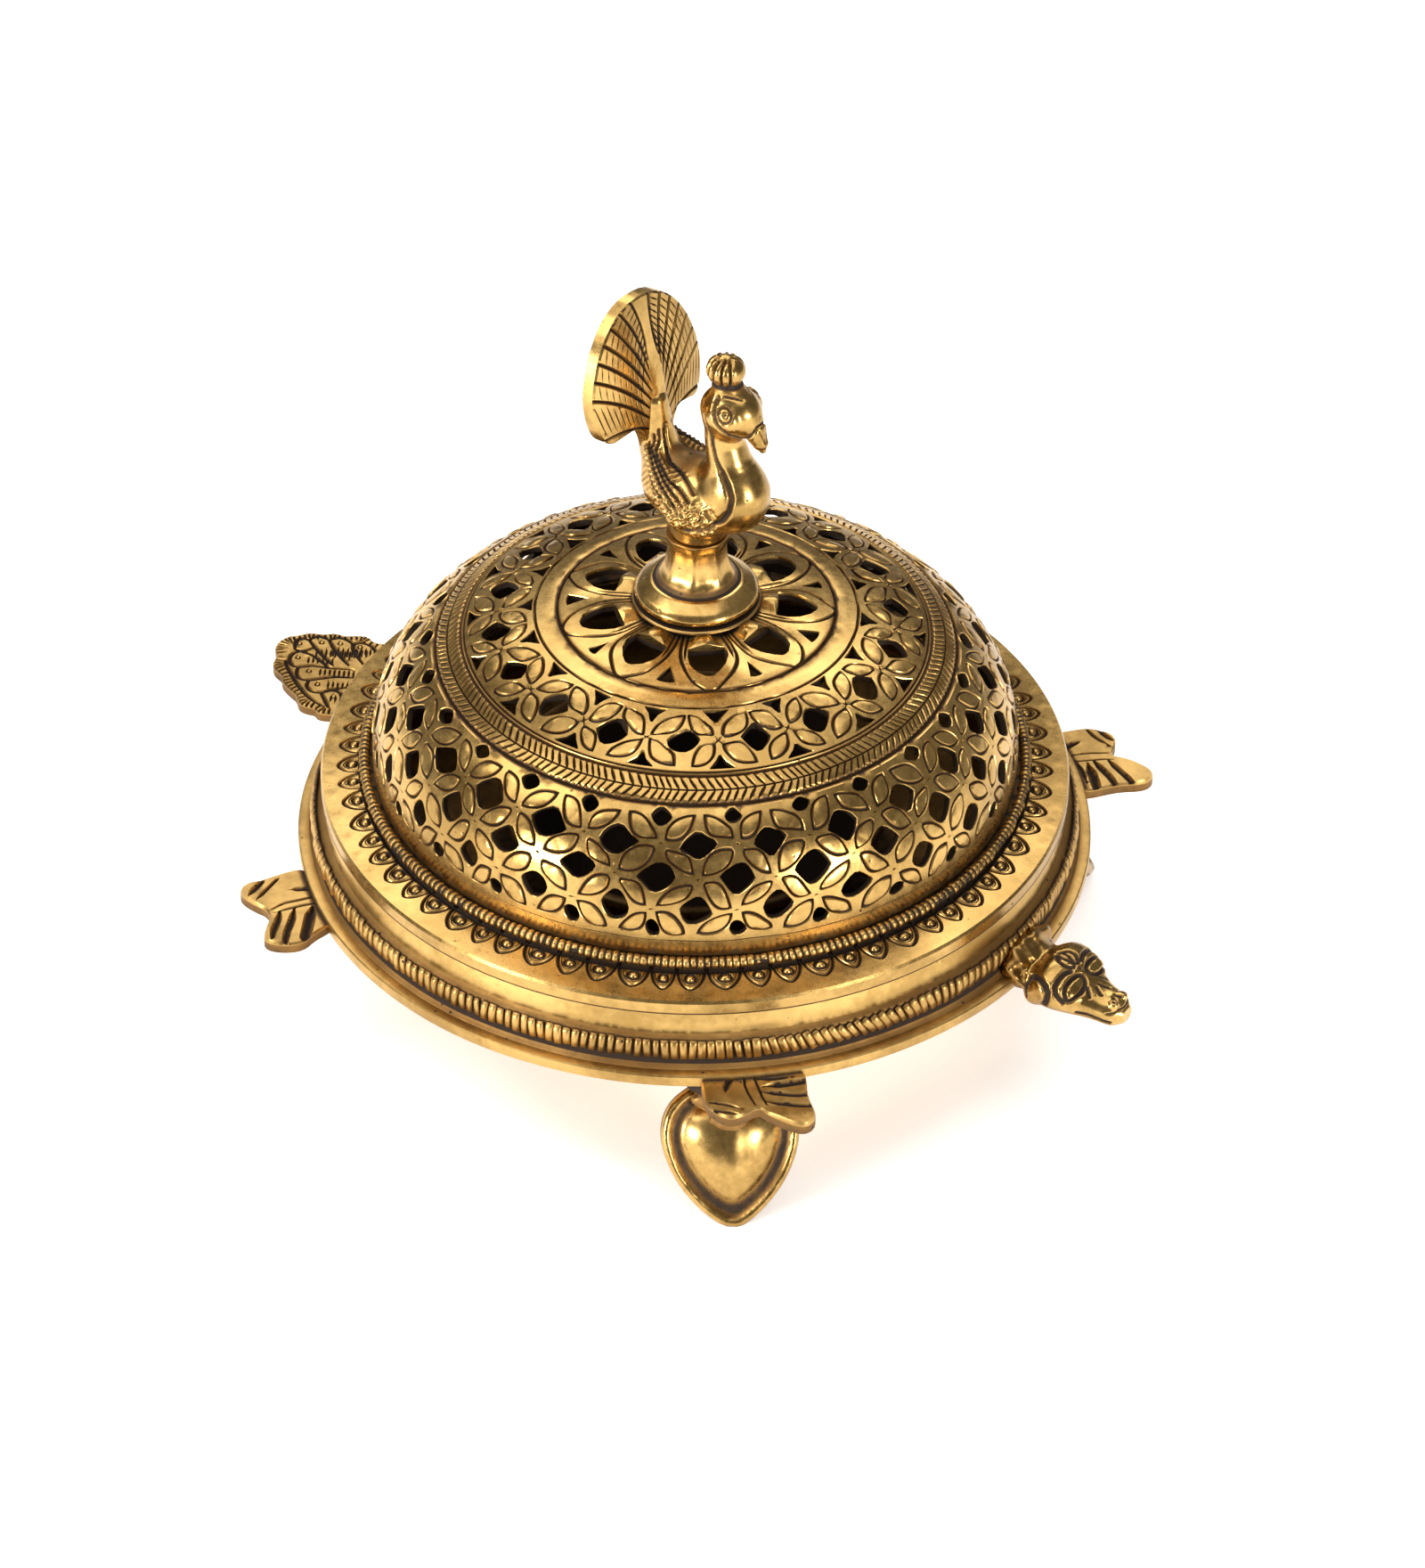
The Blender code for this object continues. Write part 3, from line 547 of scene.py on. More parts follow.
def fair(points, rounds=2, closed=True):
    """Cuts the corners of a line, so that it runs smoothly."""
    points = np.asarray(points, float)
    for _ in range(rounds):
        ahead = np.roll(points, -1, 0) if closed else points[1:]
        here = points if closed else points[:-1]
        cut = np.stack([here * 0.75 + ahead * 0.25, here * 0.25 + ahead * 0.75], 1).reshape(-1, 2)
        points = cut if closed else np.vstack([points[:1], cut, points[-1:]])
    return points


def even(points, gap):
    """The same closed line with points about gap apart."""
    loop = np.vstack([points, points[:1]])
    run = np.concatenate([[0], np.cumsum(np.hypot(*np.diff(loop, axis=0).T))])
    at = np.linspace(0, run[-1], max(8, int(run[-1] / gap)))[:-1]
    return np.stack([np.interp(at, run, loop[:, k]) for k in (0, 1)], 1)


def facing(loop):
    """The closed line run anticlockwise."""
    x, y = loop[:, 0], loop[:, 1]
    return loop if (x * np.roll(y, -1) - y * np.roll(x, -1)).sum() > 0 else loop[::-1]


def round_plate(pairs, middle):
    """Points from (degrees from middle, radius)."""
    turns = [(math.radians(middle + a), r) for a, r in pairs]
    return np.array([(r * math.cos(a), r * math.sin(a)) for a, r in turns])


def flat_limb(name, outline, lines, side, relief, rounds=2):
    """A flat casting with its top at the limbs' height; side -1 mirrors it to the right."""
    def place(x, y, depth):
        top = limb_high.z - LIMB_EDGE[1] * 0.3
        z = np.where(depth > 0.64 * LIMB_THICK, limb_low.z, top - depth)
        return np.stack([x, side * y, z], 1) * MM

    loop = even(facing(fair(outline, rounds)), 0.7)
    centre = loop.mean(0)
    loop = centre + (loop - centre) * (1 - LIMB_EDGE[0] / LIMB_HALF)
    parts = sheet_mesh(loop, [], lines, place, LIMB_THICK, 0.85, relief=relief, edge=LIMB_EDGE,
                       soot=0.45)
    piece = metalwork(name, *parts, aged_brass, 30.0)
    weld(piece, 30.0)
    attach(piece, "base")
    return piece


def root_shade(x, y):
    """Dark wax and solder where a limb meets the band's foot."""
    r = np.hypot(x, y)
    return np.zeros_like(r), np.clip((73.4 - r) / 1.6, 0, 0.9)


def toe_shade(reach):
    """Toes thicken towards their ends, from the radius reach on; wax lies at their roots."""
    def shade(x, y):
        r = np.hypot(x, y)
        return 0.30 * np.clip((r - reach) / 2.0, 0, 1), np.clip((73.2 - r) / 1.4, 0, 0.9)

    return shade


FRONT_TURN, REAR_TURN = 48.0, 127.0
WIDER, DEEPER = 1.5, 1.25  # wear has opened the chisel's lines this much
front_outline = round_plate([
    (6.8, 78.6), (4.6, 81.8), (2.9, 81.7), (0.2, 79.0), (-0.8, 81.5), (-3.9, 85.5), (-5.2, 85.5),
    (-6.3, 83.5), (-6.0, 78.5), (-6.9, 73.5), (-6.9, LIMB_ROOT), (0, LIMB_ROOT), (7.4, LIMB_ROOT),
    (7.2, 73.5)], FRONT_TURN)
front_lines = [stroke(points, WIDER * wide, DEEPER * deep, ends) for points, wide, deep, ends in (
    (((46.2, 59.6), (45.3, 57.9), (45.0, 55.6)), 1.0, 0.55, (0.05, 1.0)),
    (((46.4, 54.0), (47.9, 56.1), (49.7, 57.6), (52.1, 59.3)), 0.42, 0.34, (0.6, 0.6)),
    (((47.9, 53.3), (50.3, 55.4), (52, 56.9), (53.8, 58.2)), 0.42, 0.34, (0.6, 0.6)),
    (((45.4, 63.2), (48, 62), (50.6, 61.6)), 0.60, 0.40, (0.7, 0.4)),
    (((47.2, 64.4), (49.0, 63.6), (50.9, 63.1)), 0.75, 0.45, (0.8, 0.5)),
    (((53.2, 57.6), (56.2, 56.2), (58.5, 55.2), (61.0, 53.8)), 0.95, 0.55, (0.25, 0.8)),
    (((51.1, 55.9), (54.3, 54.3), (56.5, 53.2), (58.6, 51.6)), 1.05, 0.60, (0.25, 0.8)),
    (((51.0, 54.2), (53.7, 51.6), (56.4, 48.6)), 1.35, 0.70, (0.3, 0.8)),
    (((49.2, 53.4), (51.3, 51.9), (53.1, 49.9)), 0.6, 0.40, (0.4, 0.4)))]
rear_outline = round_plate([
    (7.2, 74.5), (6.2, 79.0), (5.6, 82.9), (4.4, 84.3), (2.3, 82.9), (-0.6, 79.6), (-4.6, 83.4),
    (-6.0, 83.6), (-7.4, 81.0), (-8.0, 77.8), (-6.8, 75.2), (-6.0, LIMB_ROOT + 0.6),
    (-5.6, LIMB_ROOT), (0, LIMB_ROOT), (7.3, LIMB_ROOT)], REAR_TURN)
rear_lines = [stroke(points, WIDER * wide, DEEPER * deep, ends) for points, wide, deep, ends in (
    (((-48.4, 57.6), (-47.0, 56.4), (-45.3, 55.1)), 0.9, 0.50, (0.15, 1.0)),
    (((-47.9, 63.9), (-47.1, 61.2), (-45.4, 59.1), (-43.6, 56.6)), 0.50, 0.38, (0.6, 0.6)),
    (((-47.0, 64.3), (-46.1, 62.9), (-45, 61.3), (-43.5, 59.3), (-42.4, 58.2)), 0.50, 0.38, (0.6, 0.6)),
    (((-52.2, 56.6), (-52.0, 60.0), (-51.6, 63.4)), 0.60, 0.42, (0.8, 0.3)),
    (((-54.0, 58.6), (-53.8, 60.5), (-53.4, 63.2)), 0.90, 0.50, (0.8, 0.4)),
    (((-46.4, 63.4), (-44.9, 66.1), (-44.0, 68.4), (-42.9, 70.2)), 0.95, 0.55, (0.3, 0.7)),
    (((-44.6, 61.6), (-42.8, 64.9), (-41.9, 67.3), (-40.3, 70.0)), 1.05, 0.60, (0.3, 0.8)),
    (((-42.3, 59.2), (-41.4, 61.0), (-39.8, 63.9), (-38.2, 67.0)), 1.5, 0.75, (0.3, 0.9)))]
for side, hand in ((1, "left"), (-1, "right")):
    for end, outline, lines, reach in (("front", front_outline, front_lines, 80.5),
                                       ("rear", rear_outline, rear_lines, 80.0)):
        flipper = flat_limb(f"flipper_{end}_{hand}_cast", outline, lines, side, toe_shade(reach))
        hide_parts(f"flipper_{end}_{hand}")

tail_outline = [
    (-71.2, 9.6), (-74.0, 11.9), (-76.4, 12.4), (-78.6, 11.0), (-80.6, 10.6), (-82.2, 11.6),
    (-84.6, 10.2), (-86.0, 9.0), (-88.0, 8.9), (-89.8, 7.1), (-92.2, 6.3), (-93.6, 4.1),
    (-95.0, 2.8), (-95.4, 0.6), (-94.6, -1.6), (-92.6, -3.2), (-92.4, -5.0), (-91.0, -6.6),
    (-88.4, -7.3), (-87.4, -8.8), (-84.9, -10.0), (-82.2, -10.8), (-80.6, -12.6), (-78.6, -12.8),
    (-77.2, -12.1), (-75.6, -13.0), (-74.0, -12.2), (-72.6, -11.6), (-70.5, -9.4)]
tail_paths = [
    ((-90.6, 4.1), (-88.1, 2.8), (-85.1, 1.4), (-82.3, 0.3)),
    ((-87.5, 6.2), (-85, 4.5), (-82.5, 3.2), (-79.7, 1.9)),
    ((-88.5, 2.5), (-89.2, 0.9), (-90.5, -0.2), (-90.7, -1.9), (-89.7, -3.4), (-88.3, -4.2),
     (-87, -3.7), (-85.3, -1.8), (-82.3, -0.8), (-78.5, 1.2)),
    ((-87.2, -3.9), (-86.4, -5.7), (-84.9, -6.7), (-83.1, -6), (-81.7, -4.4), (-79.8, -2.4),
     (-76.6, -0.7)),
    ((-83, -6.3), (-82.5, -7.8), (-80.5, -8.6), (-78.8, -7.7), (-77.6, -5.6), (-75.6, -3.6)),
    ((-78.8, -7.9), (-77, -9.2), (-75.0, -10.8)),
    ((-78.4, -7.1), (-77.5, -5.8), (-76, -5.6), (-73.9, -7.7)),
    ((-91.0, 0.3), (-89.3, 0.5), (-87.5, 0.8), (-85.6, 0.3), (-82.9, -0.6)),
    ((-90.6, 4.1), (-92.4, 4.0), (-92.5, 2.1), (-91.2, 0.4)),
    ((-87.5, 6.2), (-89.3, 6.5), (-90.4, 5.7), (-90.6, 4.1)),
    ((-83.2, 7.8), (-84.6, 8.3), (-86.5, 8.1), (-87.5, 6.2)),
    ((-77.6, 7.8), (-79.4, 9.2), (-81.6, 9.4), (-83.2, 7.9), (-81.3, 5.7), (-78.0, 3.9)),
    ((-90.4, -3.6), (-89.0, -5.0), (-86.9, -6.4), (-84.2, -8.2), (-81.6, -9.6), (-79.0, -10.6),
     (-76.0, -11.0))]
tail_lines = [stroke(points, 1.05, 0.60, (0.7, 0.6)) for points in tail_paths]
CURL = 0.62
for x, y in ((-91.4, 2.2), (-89.0, -1.5), (-84.7, -3.8), (-80.9, -6.2), (-76.2, -7.5),
             (-88.1, 4.8), (-85.0, 6.5), (-81.2, 7.6)):
    curl = [(x + CURL * math.cos(a) * (1 - 0.04 * k), y + CURL * math.sin(a) * (1 - 0.04 * k))
            for k, a in enumerate(np.linspace(2.6, 7.9, 8))]
    tail_lines.append(stroke(curl, 0.42, 0.36, (0.6, 0.6), fine=0.4))
barbs = [((-87.2, 1.6), 8.4, 0.62), ((-87.0, -1.2), 5.0, 0.50), ((-83.0, -2.9), 6.6, 0.60),
         ((-79.4, -5.2), 5.4, 0.55), ((-84.8, 3.6), 6.6, 0.75), ((-81.2, 6.0), 4.2, 0.6),
         ((-76.4, -8.4), 3.4, 0.5)]
for (x, y), long, tall in barbs:
    for k in range(int(long / 0.82)):
        bx, by = x + 0.80 * k, y + 0.42 * k
        barb = (bx - tall * 0.5, by + tall * 1.35), (bx + tall * 0.95, by - tall * 1.05)
        tail_lines.append(stroke(barb, 0.52, 0.42, (0.6, 0.6), fine=0.5))
tail_edge = even(facing(fair(tail_outline, 1)), 1.02)
for k, (x, y) in enumerate(tail_edge):
    if math.hypot(x, y) > 74.5:
        before, after = tail_edge[k - 1], tail_edge[(k + 1) % len(tail_edge)]
        run = (after - before) / np.hypot(*(after - before))
        into = np.array((-run[1], run[0]))
        long = 1.9 if x < -88 else 1.5
        tick = np.array((x, y)) + into * 0.15, np.array((x, y)) + into * long
        tail_lines.append(stroke(tick, 0.62, 0.46, (0.9, 0.5), fine=0.6))
tail = flat_limb("tail_cast", tail_outline, tail_lines, 1, root_shade, rounds=1)
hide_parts("tail_fan")

# Head: a small solid casting brazed to the plate by its neck, with eyes, cheek rings, nostrils and
# a mouth cut into it. It is rubbed bright on the brow and snout, and dark in every line.

BRIGHT_TAN, BRIGHT_GOLD = (0.35, 0.208, 0.060, 1.0), (0.68, 0.425, 0.138, 1.0)
bright_brass = brass("bright_brass", BRIGHT_TAN, BRIGHT_GOLD, gloss=0.75, pitting=0.8, dents=0.12,
                     grime=0.05)


def oval(points, centre, radii):
    """Distance in mm from an oval body, less than zero inside it."""
    away = (points - centre) / radii
    near = np.sqrt((away ** 2).sum(1)) + 1e-9
    return near * (near - 1) / np.sqrt((away / radii * away / radii).sum(1) + 1e-12)


def limb_field(points, stations):
    """Distance from a bent round limb through stations of (x, y, z, radius)."""
    best = np.full(len(points), 1e9)
    for (*a, ra), (*b, rb) in zip(stations[:-1], stations[1:]):
        a, b = np.array(a, float), np.array(b, float)
        run = b - a
        t = np.clip((points - a) @ run / (run @ run), 0, 1)
        gap = np.sqrt(((points - a - t[:, None] * run) ** 2).sum(1)) - (ra + (rb - ra) * t)
        best = np.minimum(best, gap)
    return best


def melt(a, b, soft):
    """Two bodies joined by a soft fillet."""
    mix = np.clip(0.5 + 0.5 * (b - a) / soft, 0, 1)
    return b * (1 - mix) + a * mix - soft * mix * (1 - mix)


def skin(field, low, high, cell):
    """The closed surface where a field is zero, as points and four-sided faces."""
    low, high = np.array(low, float), np.array(high, float)
    count = np.ceil((high - low) / cell).astype(int) + 1
    axes = [low[k] + cell * np.arange(count[k]) for k in range(3)]
    slices = (np.stack(np.meshgrid([x], axes[1], axes[2], indexing="ij"), -1) for x in axes[0])
    value = np.concatenate([field(layer.reshape(-1, 3)) for layer in slices]).reshape(count)

    def corner(i, j, k):
        return value[i:count[0] - 1 + i, j:count[1] - 1 + j, k:count[2] - 1 + k]

    total, hits = np.zeros((*(count - 1), 3)), np.zeros(count - 1)
    for axis in range(3):
        for m in (0, 1):
            for n in (0, 1):
                first = np.insert(np.array((m, n)), axis, 0)
                second = first.copy()
                second[axis] = 1
                a, b = corner(*first), corner(*second)
                cross = (a < 0) != (b < 0)
                t = np.where(cross, a / np.where(cross, a - b, 1), 0)
                for k in range(3):
                    total[..., k] += cross * (first[k] + (t if k == axis else 0))
                hits += cross
    live = hits > 0
    number = np.full(live.shape, -1)
    number[live] = np.arange(live.sum())
    points = low + cell * (np.argwhere(live) + total[live] / hits[live][:, None])
    faces = []
    for axis in range(3):
        p, q = [k for k in range(3) if k != axis]
        ahead = [slice(None)] * 3
        behind = [slice(None)] * 3
        ahead[axis], behind[axis] = slice(1, None), slice(None, -1)
        a, b = value[tuple(behind)] < 0, value[tuple(ahead)] < 0
        for sign, cross in ((1, a & ~b), (-1, b & ~a)):
            at = np.argwhere(cross)
            at = at[(at[:, p] > 0) & (at[:, q] > 0)
                    & (at[:, p] < count[p] - 1) & (at[:, q] < count[q] - 1)]
            around = []
            for dp, dq in ((-1, -1), (0, -1), (0, 0), (-1, 0)):
                cell_at = at.copy()
                cell_at[:, p] += dp
                cell_at[:, q] += dq
                around.append(number[tuple(cell_at.T)])
            quad = np.stack(around, 1)
            faces.append(quad[:, ::-1] if sign * (-1 if axis == 1 else 1) < 0 else quad)
    return points, np.concatenate(faces)


def slope_of(field, points, tiny=0.02):
    """Outward direction of the surface at each point."""
    steps = [field(points + d) - field(points - d) for d in np.eye(3) * tiny]
    lean = np.stack(steps, 1)
    return lean / (np.sqrt((lean ** 2).sum(1))[:, None] + 1e-12)


def cut_lines(points, normals, lines):
    """Moves points in along engraved lines: their points, width and depth in mm."""
    depth, dark = np.zeros(len(points)), np.zeros(len(points))
    for line, wide, deep in lines:
        line = np.asarray(line, float)
        near = np.full(len(points), 1e9)
        close = (points > line.min(0) - wide).all(1) & (points < line.max(0) + wide).all(1)
        here = points[close]
        gap = np.full(len(here), 1e9)
        for a, b in zip(line[:-1], line[1:]):
            run = b - a
            t = np.clip((here - a) @ run / (run @ run + 1e-12), 0, 1)
            gap = np.minimum(gap, np.sqrt(((here - a - t[:, None] * run) ** 2).sum(1)))
        near[close] = gap
        bite = np.clip(1 - near / (wide / 2), 0, 1)
        bite = bite * bite * (3 - 2 * bite)
        depth = np.maximum(depth, bite * deep)
        dark = np.maximum(dark, np.clip(bite * 1.7, 0, 1))
    return points - normals * depth[:, None], dark


def laid_on(field, line, gap=0.45):
    """A line's points, close together and moved on to the surface."""
    line = np.asarray(line, float)
    run = np.concatenate([[0], np.cumsum(np.sqrt((np.diff(line, axis=0) ** 2).sum(1)))])
    at = np.linspace(0, run[-1], int(run[-1] / gap) + 2)
    points = np.stack([np.interp(at, run, line[:, k]) for k in range(3)], 1)
    for _ in range(4):
        points = points - slope_of(field, points) * np.clip(field(points), -1, 1)[:, None] * 0.9
    return points


def sculpted(name, field, low, high, cell, lines, finish, shade, tone=0.85):
    """A cast piece: the skin of a field, its lines cut, then shade's relief and patina."""
    lines = [(laid_on(field, line), wide, deep) for line, wide, deep in lines]
    points, faces = skin(field, low, high, cell)
    for _ in range(2):
        normals = slope_of(field, points)
        points = points - normals * np.clip(field(points), -cell, cell)[:, None] * 0.9
    normals = slope_of(field, points)
    cut, dark = cut_lines(points, normals, lines)
    dark *= tone
    # shade gives relief and a tone: patina, and on the head and the peacock painted shade where faces
    # look down.
    rise, soil_and_shade = shade(points, normals)
    cut = cut + normals * rise[:, None]
    dark = np.clip(dark + soil_and_shade, -0.5, 1)
    piece = metalwork(name, cut * MM, faces.tolist(), dark, finish, 80.0)
    weld(piece, 80.0)
    return piece


HEAD_SECTIONS = np.array([  # x, half width, middle height, half height
    (70.6, 5.6, 27.7, 2.7), (73.6, 5.0, 27.9, 2.9), (75.2, 6.6, 28.3, 3.9), (77.2, 7.7, 28.6, 4.4),
    (79.4, 7.6, 28.4, 4.3), (81.6, 6.5, 27.7, 3.8), (84.0, 4.9, 26.8, 3.2), (86.2, 3.9, 26.2, 2.8),
    (88.5, 3.5, 25.9, 2.7), (89.9, 3.0, 25.7, 2.4), (90.7, 2.2, 25.6, 1.8), (91.2, 1.2, 25.5, 1.0)])
SQUARENESS = 2.3  # 2 is an oval section; more is squarer


def head_field(points):
    """The head's sections along x, with brows and cheeks that stand out a little."""
    x = np.clip(points[:, 0], HEAD_SECTIONS[0, 0], HEAD_SECTIONS[-1, 0])
    wide, middle, tall = (sum(np.interp(x + d, HEAD_SECTIONS[:, 0], HEAD_SECTIONS[:, k])
                              for d in (-0.8, -0.4, 0, 0.4, 0.8)) / 5 for k in (1, 2, 3))
    across, up = np.abs(points[:, 1] / wide), np.abs((points[:, 2] - middle) / tall)
    away = (across ** SQUARENESS + up ** SQUARENESS) ** (1 / SQUARENESS)
    body = (away - 1) * np.minimum(wide, tall)
    over = np.hypot(points[:, 0] - x, np.maximum(body, 0)) * (np.abs(points[:, 0] - x) > 0)
    body = np.where(np.abs(points[:, 0] - x) > 0, np.maximum(body, over), body)
    for side in (-1, 1):
        body = melt(body, oval(points, (80.6, side * 4.6, 28.6), (2.9, 1.9, 2.4)), 1.0)
        body = melt(body, oval(points, (75.6, side * 5.6, 27.2), (2.0, 1.7, 2.2)), 0.8)
        body = melt(body, oval(points, (89.2, side * 1.5, 28.0), (1.0, 0.9, 0.8)), 0.4)
    x, y, z = points.T
    lumps = 0.34 * np.sin(x * 1.2 + y * 0.7) * np.sin(y * 1.1 + z * 1.3)
    body = melt(body, oval(points, (70.4, 0, 30.2), (2.6, 7.2, 3.6)), 2.4)
    return body + lumps * np.clip((74.4 - points[:, 0]) / 1.5, 0, 1)


HEAD_LINES = [  # on the right side: points, width and depth
    (((74.5, -7.0, 27.1), (74.2, -6.0, 28.9), (74.6, -5.1, 30.3), (76.4, -6.0, 31.2),
      (78.2, -6.8, 30.9), (79.1, -7.3, 29.9), (79.1, -7.7, 28.4), (78.6, -7.6, 27.0)), 1.75, 0.75),
    (((82.0, -6.9, 28.3), (80.4, -6.9, 29.9), (79.8, -6.2, 30.9), (79.8, -5.0, 31.6),
      (80.0, -3.3, 32.0), (80.6, -1.9, 32.0)), 1.45, 0.70),
    (((82.3, -6.4, 29.0), (81.7, -6.0, 30.2), (81.4, -5.0, 31.0), (81.5, -3.2, 31.3),
      (81.8, -1.6, 31.4), (82.3, -0.8, 31.2), (83.1, -1.1, 30.6), (83.7, -2.0, 30.1),
      (83.8, -3.6, 29.6), (83.4, -5.1, 29.2), (82.7, -6.1, 28.7), (82.3, -6.4, 29.0)), 1.25, 0.70),
    (((76.6, -0.4, 33.0), (78.0, -1.7, 32.9), (79.4, -1.9, 32.5), (80.6, -0.9, 32.2)), 1.05, 0.60),
    (((77.0, 0.5, 33.0), (78.6, 0.6, 32.9), (79.8, 0.2, 32.5), (80.5, -0.4, 32.1)), 0.85, 0.50),
    (((84.2, -2.0, 29.8), (85.2, -3.0, 28.9)), 0.95, 0.45),
    (((85.1, -0.5, 29.6), (86.7, -1.3, 29.0)), 0.90, 0.42),
    (((88.5, -0.4, 28.6), (89.4, -0.7, 28.3)), 0.8, 0.35),
    (((83.8, -4.9, 26.0), (85.4, -4.3, 25.8), (86.7, -3.9, 25.4), (88.0, -3.6, 25.2),
      (89.6, -3.2, 24.9)), 1.1, 0.60),
    (((88.8, -3.3, 26.9), (89.9, -2.5, 27.1), (90.5, -1.2, 27.4), (90.7, 0.0, 27.4)), 0.50, 0.25),
    (((89.1, -1.6, 28.6), (89.4, -1.6, 28.5)), 0.8, 0.25)]


def both_sides(lines):
    """The lines of the right side and the same on the left."""
    return lines + [([(x, -y, z) for x, y, z in line], wide, deep) for line, wide, deep in lines]


FOREHEAD_DOT = ((81.4, 0, 31.9), (81.5, 0, 31.9)), 1.0, 0.2


def neck_solder_and_shade(points, normals):
    """Soot round the neck's solder, and painted shade on points below the head that face down."""
    near = np.clip((74.2 - points[:, 0]) / 1.2, 0, 1)
    # painted shade: the further a point faces down, the darker it is painted
    below = np.clip((-normals[:, 2] - 0.2) / 0.6, 0, 1)
    return np.zeros_like(near), near * 0.20 + below * 0.40


head = sculpted("head_cast", head_field, (67.2, -9.4, 21.5), (92.4, 9.4, 34.9), 0.25,
                both_sides(HEAD_LINES) + [FOREHEAD_DOT], bright_brass, neck_solder_and_shade)
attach(head, "base")
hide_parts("head")

# Feet: three cast hearts that lean outwards on their tips, each with a raised rim, a dark channel and
# a polished dome, brazed to a shank under the plate. The third one stands under the tail.

SHANK_TOP = 26.7
FOOT_TURNS = {"foot_front_left": 51.0, "foot_front_right": -51.0, "foot_rear": 180.0}
FOOT_TIP, FOOT_LONG, FOOT_WIDE, FOOT_LEAN = 78.3, 27.0, 12.1 / 0.47, math.radians(60)
foot_half = [(-0.52, 0.0), (-0.485, 0.09), (-0.36, 0.245), (-0.18, 0.385), (0.02, 0.465),
             (0.20, 0.475), (0.35, 0.40), (0.455, 0.23), (0.47, 0.10), (0.465, 0.0)]
foot_outline = np.array([(w * FOOT_WIDE, v * FOOT_LONG) for v, w in foot_half])
foot_outline = np.vstack([foot_outline, foot_outline[-2:0:-1] * (-1, 1)])
foot_outline = even(facing(fair(foot_outline, 2)), 0.75) * 0.985
FOOT_HEART = np.array((0.0, 2.0))
heart_reach = foot_outline - FOOT_HEART
heart_edge = np.arctan2(heart_reach[:, 1], heart_reach[:, 0]), np.hypot(*heart_reach.T)


def foot_shade(u, v):
    """Rim, channel and dome of the heart, and the dark colour left in the channel."""
    away, turn = np.hypot(u, v - FOOT_HEART[1]), np.arctan2(v - FOOT_HEART[1], u)
    share = away / np.interp(turn, *heart_edge, period=2 * math.pi)
    rim = np.exp(-((share - 0.935) / 0.062) ** 4)
    dome = 3.1 * (1 - np.clip(share / 0.72, 0, 1) ** 2.6)
    ridge = 0.30 * np.exp(-(u / 1.6) ** 2) * np.clip(1 - share / 0.7, 0, 1)
    channel = np.exp(-((share - 0.79) / 0.085) ** 4)
    top = np.clip((v - 8.5) / 2.0, 0, 1) * np.clip((0.9 - share) / 0.1, 0, 1)
    lumps = 0.25 * np.sin(u * 2.3) * np.sin(v * 1.9) * np.clip((v - 8.0) / 3.0, 0, 1)
    dark = np.clip(channel * 0.62 + top * 0.5 + rim * 0.12, 0, 1)
    return rim + dome + ridge - 0.10 * channel + lumps, dark


def leaning(turn):
    """Lays the heart on its slope at one of the three places, and cuts it level at the floor."""
    def place(u, v, depth):
        up = v + 0.52 * FOOT_LONG
        out = FOOT_TIP - math.cos(FOOT_LEAN) * up - depth * math.sin(FOOT_LEAN)
        z = np.maximum(-0.9 + math.sin(FOOT_LEAN) * up - depth * math.cos(FOOT_LEAN), 0)
        c, s = math.cos(math.radians(turn)), math.sin(math.radians(turn))
        return np.stack([out * c - u * s, out * s + u * c, z], 1) * MM

    return place


def shank_field(points):
    """The brazed shank behind a foot, with solder run down between it and the heart."""
    x, y, z = points.T
    body = limb_field(points * (1, 0.62, 1), [
        (71.3, 0, 10.5, 1.0), (69.6, 0, 17.5, 2.2), (67.6, 0, 23.0, 2.9), (66.8, 0, 26.0, 3.3)])
    flare = oval(points, (67.8, 0, 25.2), (4.4, 8.2, 2.4))
    lumps = 0.25 * np.sin(x * 1.9) * np.sin(y * 1.5 + 1) * np.sin(z * 1.7)
    return melt(melt(body, flare, 2.0), oval(points, (68.6, 0, 21.2), (2.2, 6.8, 2.2)), 1.5) + lumps


def shank_shade(points, normals):
    """The shank is sooty, most of all below the plate."""
    return np.zeros(len(points)), 0.35 + 0.3 * np.clip(points[:, 2] - 22, 0, 2) / 2


def reshaped(piece, change, crease):
    """Moves a piece's points, in mm, by change, then closes and smooths it again."""
    points = np.zeros(len(piece.data.vertices) * 3)
    piece.data.vertices.foreach_get("co", points)
    moved = change(points.reshape(-1, 3) / MM) * MM
    piece.data.vertices.foreach_set("co", moved.ravel())
    weld(piece, crease)


for name, turn in FOOT_TURNS.items():
    parts = sheet_mesh(foot_outline, [], [], leaning(turn), 1.5, 0.62, relief=foot_shade,
                       edge=(0.16, 0.20), soot=0.5)
    heart = metalwork(name + "_heart", *parts, bright_brass, 80.0)
    weld(heart, 80.0)
    shank = sculpted(name + "_shank", shank_field, (62.0, -9.5, 8.0), (74.0, 9.5, SHANK_TOP), 0.5,
                     [], bright_brass, shank_shade)
    c, s = math.cos(math.radians(turn)), math.sin(math.radians(turn))
    reshaped(shank, lambda p: np.stack([p[:, 0] * c - p[:, 1] * s, p[:, 0] * s + p[:, 1] * c,
                                        np.minimum(p[:, 2], SHANK_TOP)], 1), 50.0)
    for part in (heart, shank):
        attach(part, "base")
    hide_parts(name)

# Ember cup: a loose spun cup for the charcoal. It stands on the dish's floor, has a rolled lip, and
# is burnt dark inside.

